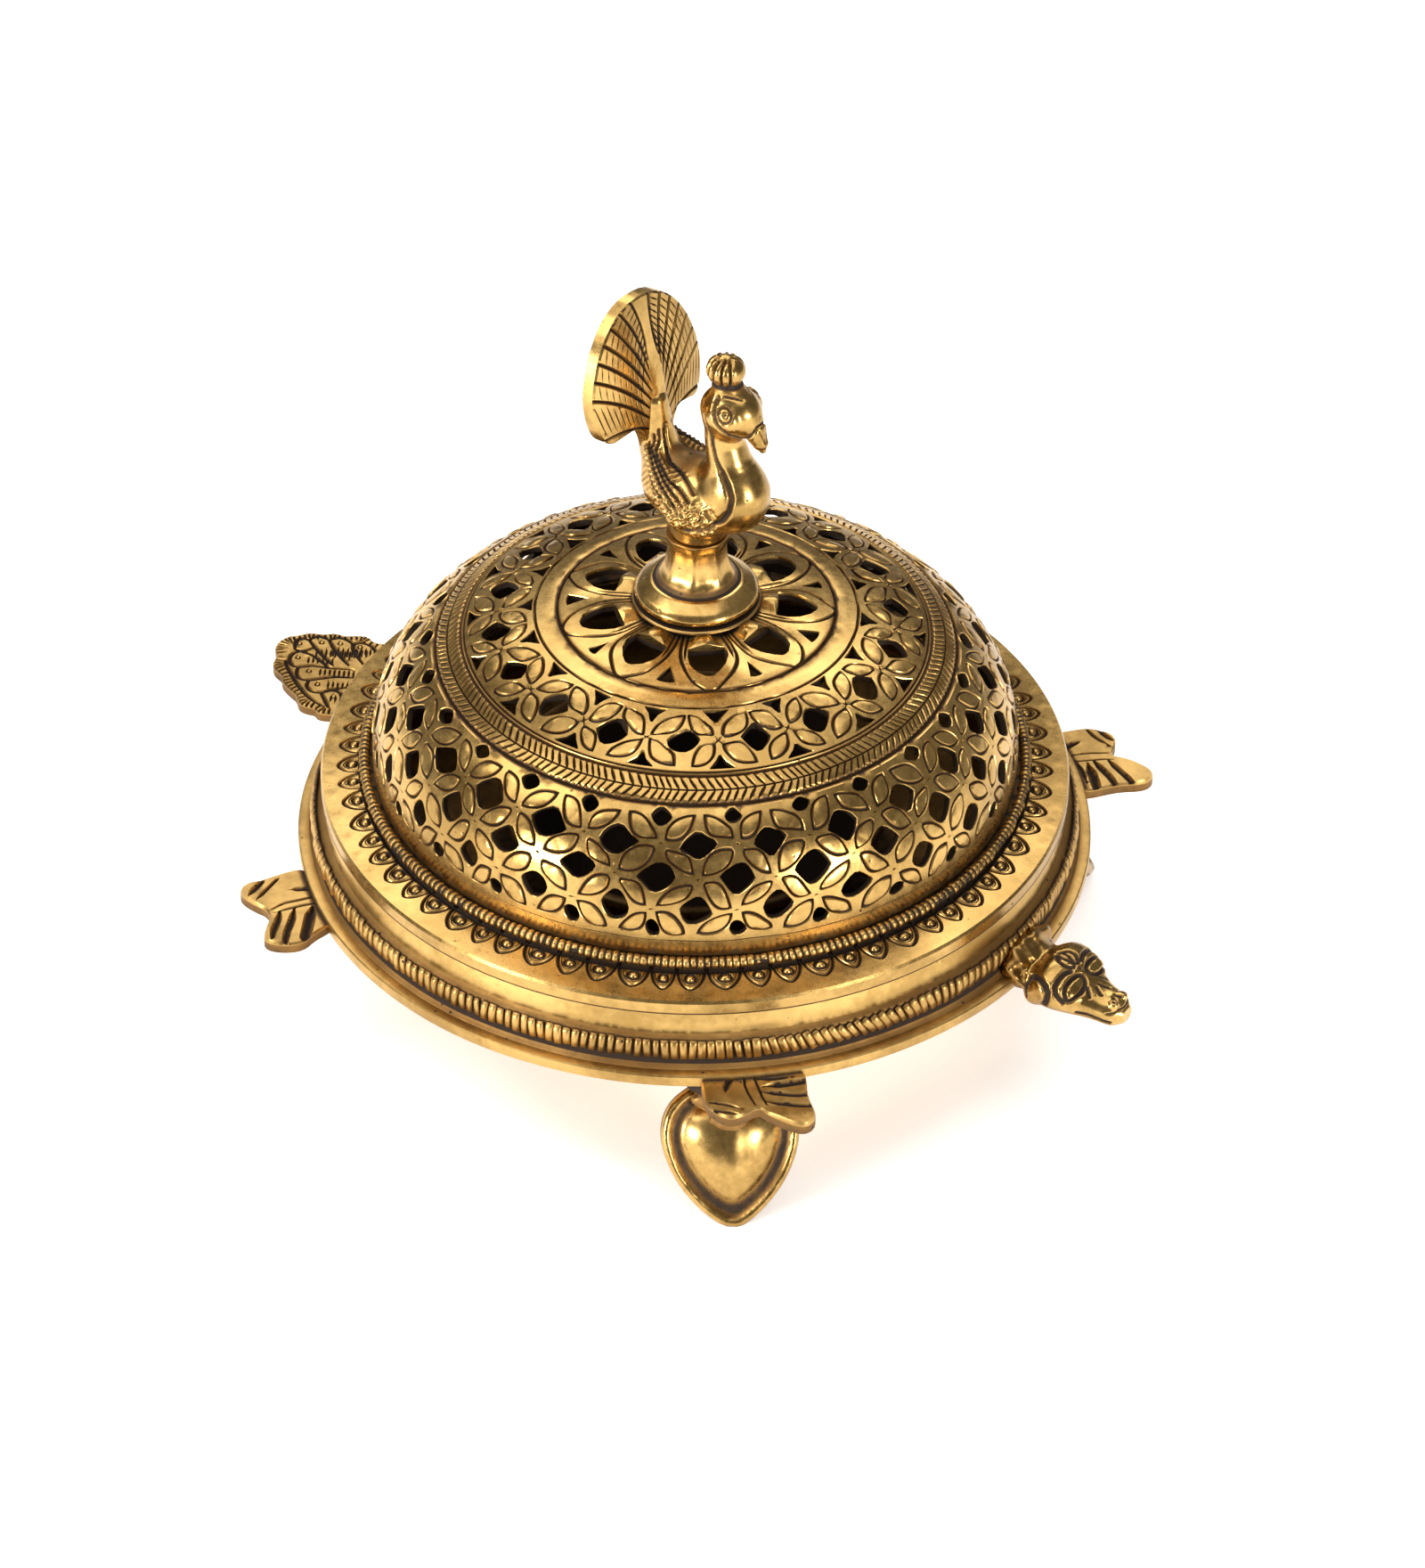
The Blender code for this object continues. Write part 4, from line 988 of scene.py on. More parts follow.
SOOTY_TAN, SOOTY_GOLD = (0.30, 0.19, 0.085, 1.0), (0.48, 0.31, 0.13, 1.0)
CUP_R = 35.5
sooty_brass = brass("sooty_brass", SOOTY_TAN, SOOTY_GOLD, gloss=0.42, pitting=1.2, dents=0.10,
                    grime=0.22)
cup_low, cup_high = (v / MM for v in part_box("ember_cup"))
cup_rows = soften([
    (0, cup_low.z, 0, 0.4), (22, cup_low.z, 1.2, 0.4), (25.5, cup_low.z + 3, 3.0, 0.3),
    (34.3, cup_high.z - 2.2, 0.4, 0.2), (CUP_R, cup_high.z - 1.9, 0.8, 0.05),
    (CUP_R, cup_high.z, 0.9, 0.0), (33.6, cup_high.z, 0.7, 0.2),
    (33.4, cup_high.z - 2.4, 0.3, 0.6), (24.5, cup_low.z + 3.6, 3.0, 0.9),
    (21.2, cup_low.z + 1.0, 1.0, 1.0), (0, cup_low.z + 1.0, 0, 1.0)], 5)
cup = turned("ember_cup_spun", cup_rows, sooty_brass, around=128, wobble=0.04, seed=8.0)
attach(cup, "cup")
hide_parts("ember_cup")

# Lid rim: a cast flange that slopes gently to a rounded edge. Petals with a berry in each were
# punched round it below the dome, with dark colour left in every line. It rests on the dish.

PETALS_ROUND = 70
CHASED_TAN, CHASED_GOLD = (0.40, 0.240, 0.072, 1.0), (0.66, 0.415, 0.135, 1.0)
chased_brass = brass("chased_brass", CHASED_TAN, CHASED_GOLD, gloss=0.72, pitting=0.8, dents=0.12,
                     grime=0.02)
rim_low, rim_high = (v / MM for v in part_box("lid_flange"))


def sectors(start, tile, ends):
    """The tile once for every sector, turned about the axis and welded to its neighbours."""
    dots = start.node("GeometryNodePoints", sockets={"Count": ends["Sectors"]})
    number = start.node("GeometryNodeInputIndex")
    turn = start.node("ShaderNodeCombineXYZ", sockets={2: number * ends["Step"]})
    copies = dots.node("GeometryNodeInstanceOnPoints",
                       sockets={"Points": dots, "Instance": tile, "Rotation": turn})
    solid = copies.node("GeometryNodeRealizeInstances", sockets={"Geometry": copies})
    return solid.node("GeometryNodeMergeByDistance",
                      sockets={"Geometry": solid, "Distance": ends["Weld"]})


def tile_outline(period, low, high, step=1.2):
    """A tile's border, with the same points up both sides."""
    up = np.linspace(low, high, max(2, int((high - low) / step) + 1))
    over = np.linspace(-period / 2, period / 2, max(2, int(period / step) + 2))
    right, left = np.full_like(up, period / 2), np.full_like(up, -period / 2)
    return np.vstack([np.stack([over, np.full_like(over, low)], 1), np.stack([right, up], 1)[1:],
                      np.stack([over[::-1], np.full_like(over, high)], 1)[1:],
                      np.stack([left, up[::-1]], 1)[1:-1]])


def ring_of_tiles(name, count, parts, warp):
    """One closed ring made of count tiles, then moved a little as the hand wandered."""
    tile = metalwork(name + "_tile", *parts, chased_brass)
    piece = round_the_axis(name, tile, chased_brass, {
        "Sectors": count, "Step": 2 * math.pi / count, "Weld": 0.02 * MM}, sectors)
    reshaped(piece, warp, 28.0)
    return piece


def wandered(points, turn, seed):
    """Turns points about the axis by a slowly changing angle of up to turn degrees."""
    heading, r = np.arctan2(points[:, 1], points[:, 0]), np.hypot(points[:, 0], points[:, 1])
    moved = heading + math.radians(turn) * hand_wave(heading, points[:, 2] * 0.6, seed)
    moved += math.radians(turn * 0.45) * np.sin(23 * heading + 0.4 * points[:, 2] + seed)
    return np.stack([r * np.cos(moved), r * np.sin(moved), points[:, 2]], 1)


def at_angle(r, z, turn):
    """Points in metres from a radius, a height and an angle round the axis."""
    return np.stack([r * np.cos(turn), r * np.sin(turn), z], 1) * MM


RIM_MIDDLE = 62.0


def on_rim(u, v, depth):
    """Lays the rim's flat layout round the axis: v is the radius, depth goes down."""
    top = np.interp(v, (55, 60.75, 67.5), (rim_high.z, rim_high.z, rim_high.z - 0.8))
    z = np.where(depth > 2.6, rim_low.z, top - depth)
    return at_angle(v, z, u / RIM_MIDDLE)


rim_period = 2 * math.pi * RIM_MIDDLE / PETALS_ROUND
petal = path((-2.55, 59.2), (-2.5, 60.4), (-2.25, 61.7), (-1.6, 63.1), (-0.7, 64.0), (0, 64.5),
             (0.7, 64.0), (1.6, 63.1), (2.25, 61.7), (2.5, 60.4), (2.55, 59.2))
inner_petal = path((-1.85, 60.3), (-1.7, 61.6), (-1.15, 62.75), (0, 63.6), (1.15, 62.75),
                   (1.7, 61.6), (1.85, 60.3))
BERRY_R = 61.75
berry_ring = path(*[(1.02 * math.cos(a), BERRY_R + 0.98 * math.sin(a))
                    for a in np.linspace(0, 2 * math.pi, 13)[:-1]])
rim_lines = [stroke(petal, 0.78, 0.50, (0.8, 0.8)), stroke(inner_petal, 0.30, 0.16, (0.5, 0.5)),
             stroke(berry_ring, 0.70, 0.42, closed=True, fine=0.55),
             stroke(path((-3.4, 60.0), (3.4, 60.0)), 1.5, 0.45, (1, 1))]


def neighbours(lines, period):
    """The same lines where the next tile on either side has them."""
    return [(line + (shift, 0), *rest) for line, *rest in lines for shift in (-period, period)]


rim_lines += neighbours(rim_lines[:1], rim_period)


def rim_shade(u, v):
    """The rounded outer edge, soot below the dome and dark ground between the petals."""
    between = np.clip((61.8 - v) / 1.6, 0, 1) * np.clip((np.abs(u) - 2.2) / 0.6, 0, 1)
    soot = np.clip((60.9 - v) / 1.2, 0, 0.55) + 0.5 * between
    return 0.10 * np.clip((v - 65.6) / 0.4, 0, 1), soot


rim_parts = sheet_mesh(tile_outline(rim_period, 55.9, 67.15), [], rim_lines, on_rim, 3.0, 1.3,
                       spread=lambda v: v / RIM_MIDDLE, period=rim_period,
                       bosses=[(np.array((0, BERRY_R)), 0.66, 0.40)], relief=rim_shade,
                       edge=(0.35, 0.35), walls=((0.0, 0.0), (1.85, 0.02)))


def rim_warp(points):
    """Petals shift, and their tips reach further in some places than in others."""
    points = wandered(points, 0.75, seed=4.0)
    heading, r = np.arctan2(points[:, 1], points[:, 0]), np.hypot(points[:, 0], points[:, 1])
    reach = 1 + 0.42 * hand_wave(heading, 0, 9.0) / r * np.exp(-((r - 63) / 1.9) ** 2)
    return points * np.stack([reach, reach, np.ones_like(r)], 1)


rim = ring_of_tiles("lid_rim", PETALS_ROUND, rim_parts, rim_warp)
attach(rim, "lid")
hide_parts("lid_flange")

# Dome: one piece of brass sheet raised over a stake, then pierced with saw and file. A deep line
# divides it into zones, each chased before the piercing: lattice, herringbone, star and rosette.

DOME_R, DOME_FOOT, DOME_RISE, DOME_POWER, DOME_WALL = 58.05, 45.375, 32.7375, 0.8, 1.3
slope = np.linspace(1e-4, math.pi / 2, 3000)
arc_r = DOME_R * np.sin(slope) ** DOME_POWER
arc_z = DOME_FOOT + DOME_RISE * np.cos(slope) ** DOME_POWER
arc_s = np.concatenate([[0], np.cumsum(np.hypot(np.diff(arc_r), np.diff(arc_z)))])
lean_r, lean_z = np.gradient(arc_r, arc_s), np.gradient(arc_z, arc_s)
HUB_S, STAR_S, LATTICE_S = (float(np.interp(r, arc_r, arc_s)) for r in (9.45, 22.275, 40.5))
LATTICE_TURN, STAR_TURN, ROSETTE_TURN = 1.4, 10.0, -9.6


def dome_place(middle_r, start, turn):
    """Puts a flat layout on the dome: u runs round it at middle_r, v down it from start."""
    def place(u, v, depth):
        s = np.clip(v + start, 0, arc_s[-1])
        r, z = np.interp(s, arc_s, arc_r), np.interp(s, arc_s, arc_z)
        over = v + start - s
        nr, nz = -np.interp(s, arc_s, lean_z), np.interp(s, arc_s, lean_r)
        return at_angle(r - nr * depth, z - nz * depth - over, u / middle_r + math.radians(turn))

    return place, lambda v: np.interp(v + start, arc_s, arc_r) / middle_r


def dome_warp(points):
    """The saw wandered: holes lean and shift, but the lines between the zones stay put."""
    points = wandered(points, 0.85, seed=2.0)
    heading, r = np.arctan2(points[:, 1], points[:, 0]), np.hypot(points[:, 0], points[:, 1])
    s = np.interp(points[:, 2], arc_z[::-1], arc_s[::-1])
    window = np.ones_like(s)
    for line in (HUB_S, STAR_S + 2.4, LATTICE_S + 1.5, LATTICE_S + 6.85, arc_s[-1] - 1.5,
                 STAR_S + 6.45, STAR_S + 19.75):
        window *= 1 - np.exp(-((s - line) / 2.2) ** 2)
    slip = hand_wave(heading * 2, s * 3, 6.0) + 0.6 * np.sin(29 * heading + s * 0.9)
    slip = 0.42 * window * slip
    r = r + slip * np.interp(s, arc_s, lean_r)
    z = points[:, 2] + slip * np.interp(s, arc_s, lean_z)
    return np.stack([r * np.cos(heading), r * np.sin(heading), z], 1)


def rounded_hole(centre, wide, tall, power, lean=0.0, scale=1.0):
    """A hole from diamond (power 1) to oval (power 2), in true mm about centre."""
    t = np.arange(18) * 2 * math.pi / 18 + 1e-3
    c, s = np.cos(t), np.sin(t)
    size = (np.abs(c) ** power + np.abs(s) ** power) ** (-1 / power)
    x, y = c * size * wide / 2, s * size * tall / 2
    return np.stack([(x + lean * y) / scale + centre[0], y + centre[1]], 1)


def scaled(points, centre, scale):
    """Narrows a true shape about centre, to lay it out at that zone's middle radius."""
    return np.stack([(points[:, 0] - centre[0]) / scale + centre[0], points[:, 1]], 1)


def vesica(centre, length, wide, lean):
    """The pointed oval of a leaf: its outline's points."""
    t = np.linspace(-1, 1, 9)
    half = np.stack([-t * length / 2, (1 - t * t) * wide / 2], 1)
    leaf = np.vstack([half, -half[1:-1]])
    c, s = math.cos(lean), math.sin(lean)
    return leaf @ np.array(((c, s), (-s, c))) + centre


def leaf_rise(u, v, leaves, spread):
    """How far the leaves (centre, length, width, lean) swell out of the sheet."""
    rise = np.zeros_like(u)
    for (cu, cv), length, wide, lean in leaves:
        du, dv = (u - cu) * spread(v), v - cv
        along = (du * math.cos(lean) + dv * math.sin(lean)) * 2 / length
        over = (dv * math.cos(lean) - du * math.sin(lean)) * 2 / wide
        rise = np.maximum(rise, 0.34 * np.clip(1 - along ** 2 - over ** 2, 0, 1))
    return rise


# The lattice is a net of four-leaved flowers with a hole in each mesh.
LATTICE_COLUMNS, LATTICE_MIDDLE = 25, 54.0
LEAF_LONG, LEAF_WIDE = 6.4, 3.0
lattice_place, lattice_spread = dome_place(LATTICE_MIDDLE, LATTICE_S, LATTICE_TURN)
lattice_period = 2 * math.pi * LATTICE_MIDDLE / LATTICE_COLUMNS
holes, lines = [], []
for shift, s, wide, tall, power in (
        (0.5, 8.85, 3.9, 3.2, 1.5), (0, 14.1, 6.5, 6.0, 1.3), (0.5, 19.7, 6.1, 5.8, 1.35),
        (0, 25.5, 5.3, 5.3, 1.5), (0.5, 29.1, 3.3, 3.1, 1.9)):
    for side in ((-1, 1) if shift else (0,)):
        at = (side * shift * lattice_period, s)
        holes.append(rounded_hole(at, wide, tall, power, scale=lattice_spread(np.array([s]))[0]))
flowers = [(0.0, 8.2), (0.5, 14.0), (0.0, 19.7), (0.5, 25.5), (0.0, 31.0)]
lattice_leaves = []
for side in (-1, 1):
    for (a, sa), (b, sb) in zip(flowers[:-1], flowers[1:]):
        centre = (side * lattice_period / 4, (sa + sb) / 2)
        scale = lattice_spread(np.array([centre[1]]))[0]
        lean = math.atan2(sb - sa, side * (b - a) * lattice_period * scale)
        leaf = vesica(np.array(centre), LEAF_LONG, LEAF_WIDE, lean)
        lattice_leaves.append((centre, LEAF_LONG, LEAF_WIDE, lean))
        lines.append(stroke(scaled(leaf, centre, scale), 0.66, 0.42, closed=True, fine=0.62))
for u, s in ((0.5, 14.0), (-0.5, 14.0), (0, 19.7), (0.5, 25.5), (-0.5, 25.5)):
    at = u * lattice_period
    lines.append(stroke(path((at - 0.5, s), (at + 0.5, s)), 0.40, 0.3, (0.1, 0.1), fine=0.5))
foot_line = path((-0.62 * lattice_period, 31.6), (0.62 * lattice_period, 31.6))
lines.append(stroke(foot_line, 0.22, 0.10, (1, 1)))


def lattice_shade(u, v):
    """Lines at the zone's two borders, dark where solder and soot stay near the foot."""
    top = np.clip(1 - (v - 6.85) / 0.45, 0, 1)
    rise = leaf_rise(u, v, lattice_leaves, lattice_spread)
    soot = np.clip(top * 1.5, 0, 1) + np.clip((v - 33.2) / 0.9, 0, 0.6)
    return rise - 0.42 * top, soot - 0.2 * rise


lattice_foot = float(arc_s[-1] - LATTICE_S) + 0.9
lattice_parts = sheet_mesh(tile_outline(lattice_period, 6.88, lattice_foot), holes, lines,
                           lattice_place, DOME_WALL, 1.5, spread=lattice_spread,
                           period=lattice_period, relief=lattice_shade)
lattice = ring_of_tiles("dome_lattice", LATTICE_COLUMNS, lattice_parts, dome_warp)

# The herringbone is a band of chevrons cut between two deep lines.
CHEVRONS, HERRING_MIDDLE = 198, 44.5
HERRING_LOW, HERRING_HIGH = 1.52, 6.82
herring_place, herring_spread = dome_place(HERRING_MIDDLE, LATTICE_S, 0.0)
herring_period = 2 * math.pi * HERRING_MIDDLE / CHEVRONS
herring_lines = [stroke(path((-1.4, 4.2), (1.4, 4.2)), 0.36, 0.34, (1, 1), fine=0.7)]
for shift in (-herring_period, 0, herring_period):
    upper = path((-0.62 + shift, 2.15), (0.5 + shift, 4.0))
    lower = path((0.5 + shift, 4.4), (-0.62 + shift, 6.2))
    herring_lines += [stroke(upper, 0.58, 0.40, (0.6, 0.5), fine=0.6),
                      stroke(lower, 0.58, 0.40, (0.5, 0.6), fine=0.6)]


def herring_shade(u, v):
    """The zone's dark border lines."""
    top = np.clip(1 - (v - HERRING_LOW) / 0.40, 0, 1)
    low = np.clip(1 - (HERRING_HIGH - v) / 0.42, 0, 1)
    return -0.36 * top - 0.42 * low, np.clip((top + low) * 1.5, 0, 1) + 0.10


herring_parts = sheet_mesh(tile_outline(herring_period, HERRING_LOW, HERRING_HIGH, 0.5), [],
                           herring_lines, herring_place, DOME_WALL, 0.8, spread=herring_spread,
                           period=herring_period, relief=herring_shade)
herring = ring_of_tiles("dome_herringbone", CHEVRONS, herring_parts,
                        lambda points: wandered(points, 0.9, seed=7.0))

# The star zone is a ring of flowers of four leaves between a plain ring and the herringbone.
STARS, STAR_MIDDLE = 18, 35.0
star_place, star_spread = dome_place(STAR_MIDDLE, STAR_S, STAR_TURN)
star_period = 2 * math.pi * STAR_MIDDLE / STARS
STAR_LOW, STAR_HIGH = 2.42, float(LATTICE_S - STAR_S) + 1.48
star_holes, star_lines, star_leaves = [], [], []
for side in (-1, 1):
    at = (side * star_period / 2, 13.6)
    scale = star_spread(np.array([13.6]))[0]
    star_holes.append(rounded_hole(at, 5.7, 6.0, 1.35, lean=-0.12, scale=scale))
for tip, base, half in ((10.0, 6.95, 2.1), (16.4, 19.25, 2.3)):
    scale = star_spread(np.array([(tip + base) / 2]))[0]
    near, side_v = base * 0.9 + tip * 0.1, base * 0.45 + tip * 0.55
    triangle = path((-half, base), (-half * 0.98, near), (-half * 0.42, side_v), (-0.25, tip),
                    (0.25, tip), (half * 0.42, side_v), (half * 0.98, near), (half, base), (0, base))
    star_holes.append(scaled(triangle, (0, 0), scale))
for side in (-1, 1):
    for dx, ds, length, wide in ((3.0, -3.0, 6.5, 3.0), (3.05, 2.9, 6.3, 3.0)):
        centre = (side * dx, 13.5 + ds)
        scale = star_spread(np.array([centre[1]]))[0]
        lean = math.atan2(ds, side * dx)
        leaf = vesica(np.array((0.0, 0.0)), length, wide, lean)
        star_leaves.append(((centre[0] / scale, centre[1]), length, wide, lean))
        leaf = np.stack([(leaf[:, 0] + centre[0]) / scale, leaf[:, 1] + centre[1]], 1)
        star_lines.append(stroke(leaf, 0.66, 0.42, closed=True, fine=0.62))
for at in (-0.62, 0.62):
    star_lines.append(stroke(path((at, 12.9), (-at, 14.1)), 0.40, 0.30, (0.2, 0.2), fine=0.5))
for s, wide, deep in ((6.45, 0.62, 0.42), (19.75, 0.55, 0.36)):
    border = path((-0.6 * star_period, s), (0.6 * star_period, s))
    star_lines.append(stroke(border, wide, deep, (1, 1), fine=1.0))


def star_shade(u, v):
    """The zone's dark border lines, and its leaves, which are rubbed bright."""
    top = np.clip(1 - (v - STAR_LOW) / 0.35, 0, 1)
    low = np.clip(1 - (STAR_HIGH - v) / 0.30, 0, 1)
    rise = leaf_rise(u, v, star_leaves, star_spread)
    return rise - 0.36 * top - 0.30 * low, np.clip((top + low) * 1.5, 0, 1) - 0.2 * rise


star_parts = sheet_mesh(tile_outline(star_period, STAR_LOW, STAR_HIGH), star_holes, star_lines,
                        star_place, DOME_WALL, 1.5, spread=star_spread, period=star_period,
                        relief=star_shade)
star = ring_of_tiles("dome_star_zone", STARS, star_parts, dome_warp)

# The rosette is a ring of raised petals round the hub, each with a hole.
ROSETTE_PETALS, ROSETTE_MIDDLE = 9, 17.0
rosette_place, rosette_spread = dome_place(ROSETTE_MIDDLE, HUB_S, ROSETTE_TURN)
rosette_period = 2 * math.pi * ROSETTE_MIDDLE / ROSETTE_PETALS
ROSETTE_LOW, ROSETTE_HIGH = 3.0 - HUB_S, float(STAR_S - HUB_S) + 2.38


def by_angle(*pairs):
    """Layout points from (degrees from the petal's middle, mm down the dome)."""
    return np.array([(math.radians(a) * ROSETTE_MIDDLE, s) for a, s in pairs])


petal_hole = by_angle((-13.2, 5.4), (-12.8, 5.1), (0, 4.95), (12.8, 5.1), (13.2, 5.4), (12.6, 7.2),
                      (10.0, 9.2), (6.0, 10.9), (2.0, 11.9), (0, 12.0), (-2.0, 11.9), (-6.0, 10.9),
                      (-10.0, 9.2), (-12.6, 7.2))
gusset = by_angle((-20.0, 9.7), (-18.6, 10.9), (-17.2, 12.4), (-16.3, 13.5), (-18.2, 13.75),
                  (-20.0, 13.8), (-21.8, 13.75), (-23.7, 13.5), (-22.8, 12.4), (-21.4, 10.9))
rosette_holes = [petal_hole, gusset, gusset + (rosette_period, 0)]
outer = by_angle((-18.6, 1.6), (-18.2, 4.5), (-16.6, 7.7), (-13.9, 9.9), (-10.6, 11.9),
                 (-5.6, 13.9), (-1.6, 15.2), (0, 15.6))
outer = np.vstack([outer, outer[-2::-1] * (-1, 1)])
side_line = by_angle((-14.6, 1.8), (-14.9, 4.2), (-14.8, 6.2), (-14.0, 8.0))
ring_line = path((-0.6 * rosette_period, 15.3), (0.6 * rosette_period, 15.3))
rosette_lines = [stroke(outer, 0.75, 0.48, (0.6, 0.6), fine=0.8),
                 stroke(side_line, 0.62, 0.42, (0.6, 0.2), fine=0.8),
                 stroke(side_line * (-1, 1), 0.62, 0.42, (0.6, 0.2), fine=0.8),
                 stroke(ring_line, 0.58, 0.38, (1, 1), fine=1.0)]
rosette_lines += neighbours(rosette_lines[:1], rosette_period)


def rosette_shade(u, v):
    """Raised tongues between hub and holes, a bulge to each petal, soot close to the hub."""
    across = u / (rosette_period / 2)
    tongue = 1.15 * np.exp(-(across / 0.40) ** 4) * np.exp(-((v - 3.4) / 2.3) ** 4)
    bulge = 0.35 * np.exp(-(across / 0.75) ** 4) * np.exp(-((v - 7.5) / 5.0) ** 4)
    end = np.clip(1 - (ROSETTE_HIGH - v) / 0.35, 0, 1)
    soot = np.clip(end * 1.5, 0, 1) + np.clip((2.7 - v) / 1.2, 0, 0.9) * (v > 0.2)
    return tongue + bulge - 0.36 * end, soot


rosette_parts = sheet_mesh(tile_outline(rosette_period, ROSETTE_LOW, ROSETTE_HIGH, 1.0),
                           rosette_holes, rosette_lines, rosette_place, DOME_WALL, 0.85,
                           spread=rosette_spread, period=rosette_period, relief=rosette_shade)
rosette = ring_of_tiles("dome_rosette", ROSETTE_PETALS, rosette_parts,
                        lambda points: wandered(points, 1.3, seed=3.0))
for zone in (lattice, herring, star, rosette):
    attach(zone, "lid")
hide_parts("lid_dome")

# Rope: a milled brass wire soldered into the corner between dome and rim. Its beads are uneven, and
# they lie over for a short stretch.

ROPE_BEADS, ROPE_SEED = 306, 11
BEAD_SIDES = 8
rope_low, rope_high = (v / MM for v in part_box("rope_ring"))
ROPE_MIDDLE = (rope_low.z + rope_high.z) / 2
ROPE_R = rope_high.x - (rope_high.z - rope_low.z) / 2
WIRE_R, BEAD_LONG = 0.86, 1.18
rope_core = turned("rope_core", [
    (ROPE_R + WIRE_R * math.cos(a), ROPE_MIDDLE + WIRE_R * math.sin(a), 0.75)
    for a in np.linspace(0, 2 * math.pi, 11)[:-1]], aged_brass, around=200, seed=2.0)
bead_points, bead_marks, bead_faces = [], [], []
for along, size, tone in ((-0.50, 0.88, 0.62), (-0.32, 1.02, 0.10), (0.0, 1.07, -0.12),
                          (0.32, 1.02, 0.10), (0.50, 0.88, 0.62)):
    for a in np.linspace(0, 2 * math.pi, BEAD_SIDES + 1)[:-1]:
        bead_points.append((size * math.cos(a) * MM, along * BEAD_LONG * MM, size * math.sin(a) * MM))
        bead_marks.append(tone)
for first in range(0, 4 * BEAD_SIDES, BEAD_SIDES):
    for j in range(BEAD_SIDES):
        k, ahead = first + j, first + (j + 1) % BEAD_SIDES
        bead_faces.append((k, ahead, ahead + BEAD_SIDES, k + BEAD_SIDES))
bead_faces += [tuple(range(BEAD_SIDES))[::-1], tuple(range(4 * BEAD_SIDES, 5 * BEAD_SIDES))]
bead = metalwork("rope_bead", bead_points, bead_faces, bead_marks, aged_brass, 60.0)
weld(bead, 60.0)
rope = round_the_axis("rope_beads", bead, aged_brass, {
    "Ribs": ROPE_BEADS, "Radius": ROPE_R * MM, "Height": ROPE_MIDDLE * MM, "Seed": ROPE_SEED,
    "Lean": 0.25}, ribs_round)
for strip in (rope_core, rope):
    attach(strip, "lid")
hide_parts("rope_ring")

# Spigot: a plain hoop of brass strip soldered under the rim. It drops into the dish's mouth and
# keeps the lid central.

spigot_low, spigot_high = (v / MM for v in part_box("lid_spigot"))
spigot = turned("lid_spigot_hoop", soften([
    (spigot_high.x - 1.3, spigot_low.z, 0.3, 0.2), (spigot_high.x - 0.3, spigot_low.z, 0.5, 0.05),
    (spigot_high.x, spigot_low.z + 1.0, 0.8, 0.15), (spigot_high.x, spigot_high.z, 0.1, 0.7),
    (spigot_high.x - 1.3, spigot_high.z, 0.1, 0.8)]), plain_brass, around=200, wobble=0.04, seed=6.0)
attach(spigot, "lid")
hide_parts("lid_spigot")

# Finial: a turned pedestal whose stud passes through a washer, the dome, a second washer and a nut.
# The hub is a thick disc, dished on top, and the stem is filed in broad flats below the bird.

hub_low, hub_high = (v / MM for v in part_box("finial_pedestal"))
washer_low, washer_high = (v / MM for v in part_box("finial_washer_top"))
HUB_FOOT = washer_high.z + 0.3
washer = turned("finial_washer_spun", soften([
    (2.8, washer_low.z, 0.05, 0.9), (washer_high.x - 0.2, washer_low.z, 0.2, 1.0),
    (washer_high.x, washer_high.z - 0.3, 0.4, 0.1), (washer_high.x - 0.5, washer_high.z, 0.3, 0.0),
    (11.2, washer_high.z + 0.02, 0.1, 0.8), (2.8, washer_high.z, 0.05, 1.0)]),
    aged_brass, around=128, wobble=0.05, seed=4.0)
pedestal_rows = soften([
    (0, hub_low.z, 0, 0.6), (2.5, hub_low.z, 0.4, 0.6), (2.5, HUB_FOOT, 0.1, 0.8),
    (10.4, HUB_FOOT, 0.3, 0.9), (11.0, HUB_FOOT + 0.6, 0.8, 0.05), (11.0, HUB_FOOT + 1.5, 0.9, -0.1),
    (10.3, HUB_FOOT + 2.4, 1.0, -0.1), (8.2, HUB_FOOT + 3.7, 0.6, 0.0),
    (7.5, HUB_FOOT + 3.75, 0.3, 0.75), (7.0, HUB_FOOT + 4.3, 0.5, 0.5),
    (6.0, HUB_FOOT + 6.2, 1.5, 0.0), (5.3, HUB_FOOT + 8.6, 2.0, -0.1),
    (5.15, HUB_FOOT + 11.0, 1.5, 0.0), (5.6, hub_high.z - 0.4, 0.3, 0.2),
    (5.6, hub_high.z, 0.2, 0.3), (0, hub_high.z, 0, 0.3)], 5)
pedestal = turned("finial_pedestal_turned", pedestal_rows, bright_brass, around=96, wobble=0.06,
                  seed=12.0)


def filed_flats(points):
    """Eight broad flats filed on the stem, from above the hub to below the bird."""
    half = math.pi / 8
    x, y, z = points.T
    flat = np.maximum(np.cos((np.arctan2(y, x) + 0.3) % (2 * half) - half), 0.9)
    share = np.clip((z - HUB_FOOT - 4.6) / 1.5, 0, 1) * np.clip((hub_high.z - z) / 1.5, 0, 1)
    scale = 1 - share * (1 - math.cos(half) / flat * 1.02)
    return np.stack([x * scale, y * scale, z], 1)


reshaped(pedestal, filed_flats, 24.0)
for part, node, name in ((washer, "finial_washer_top", "aged_brass"),
                         (pedestal, "finial_pedestal", "bright_brass")):
    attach(part, "lid")
    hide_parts(node)
for node in ("finial_washer_inner", "finial_nut"):
    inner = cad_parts[node]
    inner.data.materials.clear()
    inner.data.materials.append(sooty_brass)

